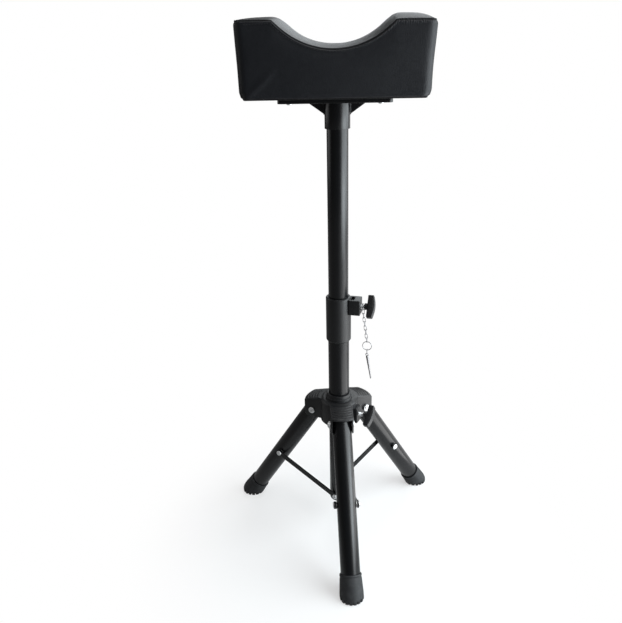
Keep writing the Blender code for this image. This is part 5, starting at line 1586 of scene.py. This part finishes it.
def add_studio():
    """White world, soft lamps, and a pale floor that keeps the shadow and turns white further out."""
    world = bpy.data.worlds.new("studio")
    bpy.context.scene.world = world
    world.use_nodes = True
    w = Wire(world.node_tree)
    background = world.node_tree.nodes["Background"]
    looking = w.node("ShaderNodeTexCoord", output="Generated")
    settings = {"operation": "DOT_PRODUCT"}
    to_window = w.node("ShaderNodeVectorMath", settings, {0: looking, 1: TO_WINDOW}, output="Value")
    bright_side = to_window.between(0.0, 0.50)
    strength = w.math("MAXIMUM", white_to_the_eye(w, 0.05 + bright_side * 0.95), 0.10 + bright_side * 0.30)
    world.node_tree.links.new(strength.socket, background.inputs["Strength"])
    background.inputs["Color"].default_value = (1, 1, 1, 1)

    floor = shown("floor", mesh_of("floor", turned([(0, 0), (FLOOR_RADIUS, 0)], 64)))
    material = bpy.data.materials.new("pale_floor")
    material.use_nodes = True
    tree = material.node_tree
    w = Wire(tree)
    shader = tree.nodes["Principled BSDF"]
    shader.inputs["Base Color"].default_value = (0.86, 0.86, 0.86, 1)
    shader.inputs["Roughness"].default_value = 0.9
    shader.inputs["Specular IOR Level"].default_value = 0.0
    # The floor's glow, seen only in reflections, is painted brighter towards +X, the window side: a painted
    # pool of light.
    to_right = w.node("ShaderNodeSeparateXYZ", None, {0: w.place()}, output="X")
    mirrored = 0.25 + to_right.between(-0.2, 0.7) * 0.75
    glow = w.node("ShaderNodeEmission", None, {"Strength": white_to_the_eye(w, mirrored)})
    away = w.node("ShaderNodeVectorMath", {"operation": "LENGTH"}, {0: w.place()}, output="Value")
    share = 0.45 + away.between(0.14, 0.44) * 0.55
    mixed = w.node("ShaderNodeMixShader", None, {0: share, 1: Wire(tree, shader.outputs[0]), 2: glow})
    tree.links.new(mixed.socket, tree.nodes["Material Output"].inputs["Surface"])
    floor.data.materials.append(material)

    add_lamp("right_window", (1.60, -0.40, 1.00), (0.0, 0.05, 0.50), 2.2, 1.8, 5.2, DAYLIGHT)
    add_lamp("low_window", (1.20, -0.85, 0.32), (0.0, -0.10, 0.15), 1.2, 0.5, 6.0, DAYLIGHT)
    add_lamp("back_window", (0.62, 1.60, 1.35), (0.0, 0.0, 0.90), 1.1, 0.9, 2.2, DAYLIGHT)
    add_lamp("left_rim", (-1.60, 0.60, 1.10), (0.0, 0.0, 0.50), 1.4, 1.4, 0.9)
    add_lamp("ceiling_lamp", (0.15, -0.70, 2.20), (0.0, 0.0, 0.50), 0.6, 0.4, 7.0)
    add_lamp("floor_bounce", (0.95, -0.25, 0.03), (0.94, -0.25, 1.0), 0.8, 1.4, 2.4)
    add_lamp("overhead", (0.25, 0.25, 2.4), (0.0, 0.05, 0.5), 1.8, 1.8, 1.2)
    bpy.context.scene.view_settings.view_transform = "Standard"


def dress_hidden_nodes():
    """Gives a finish to the solids that have no piece of their own."""
    for node, slot in (("mast_end_plug", "moulding"), ("clamp_pad", "moulding")):
        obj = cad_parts[node]
        obj.data.materials.clear()
        obj.data.materials.append(FINISHES[slot])


add_column()
add_locks()
add_tether()
add_mast()
add_hub()
add_legs()
add_bracket()
add_cover()
add_filling()
add_stitches()
dress_hidden_nodes()
add_camera()
add_studio()
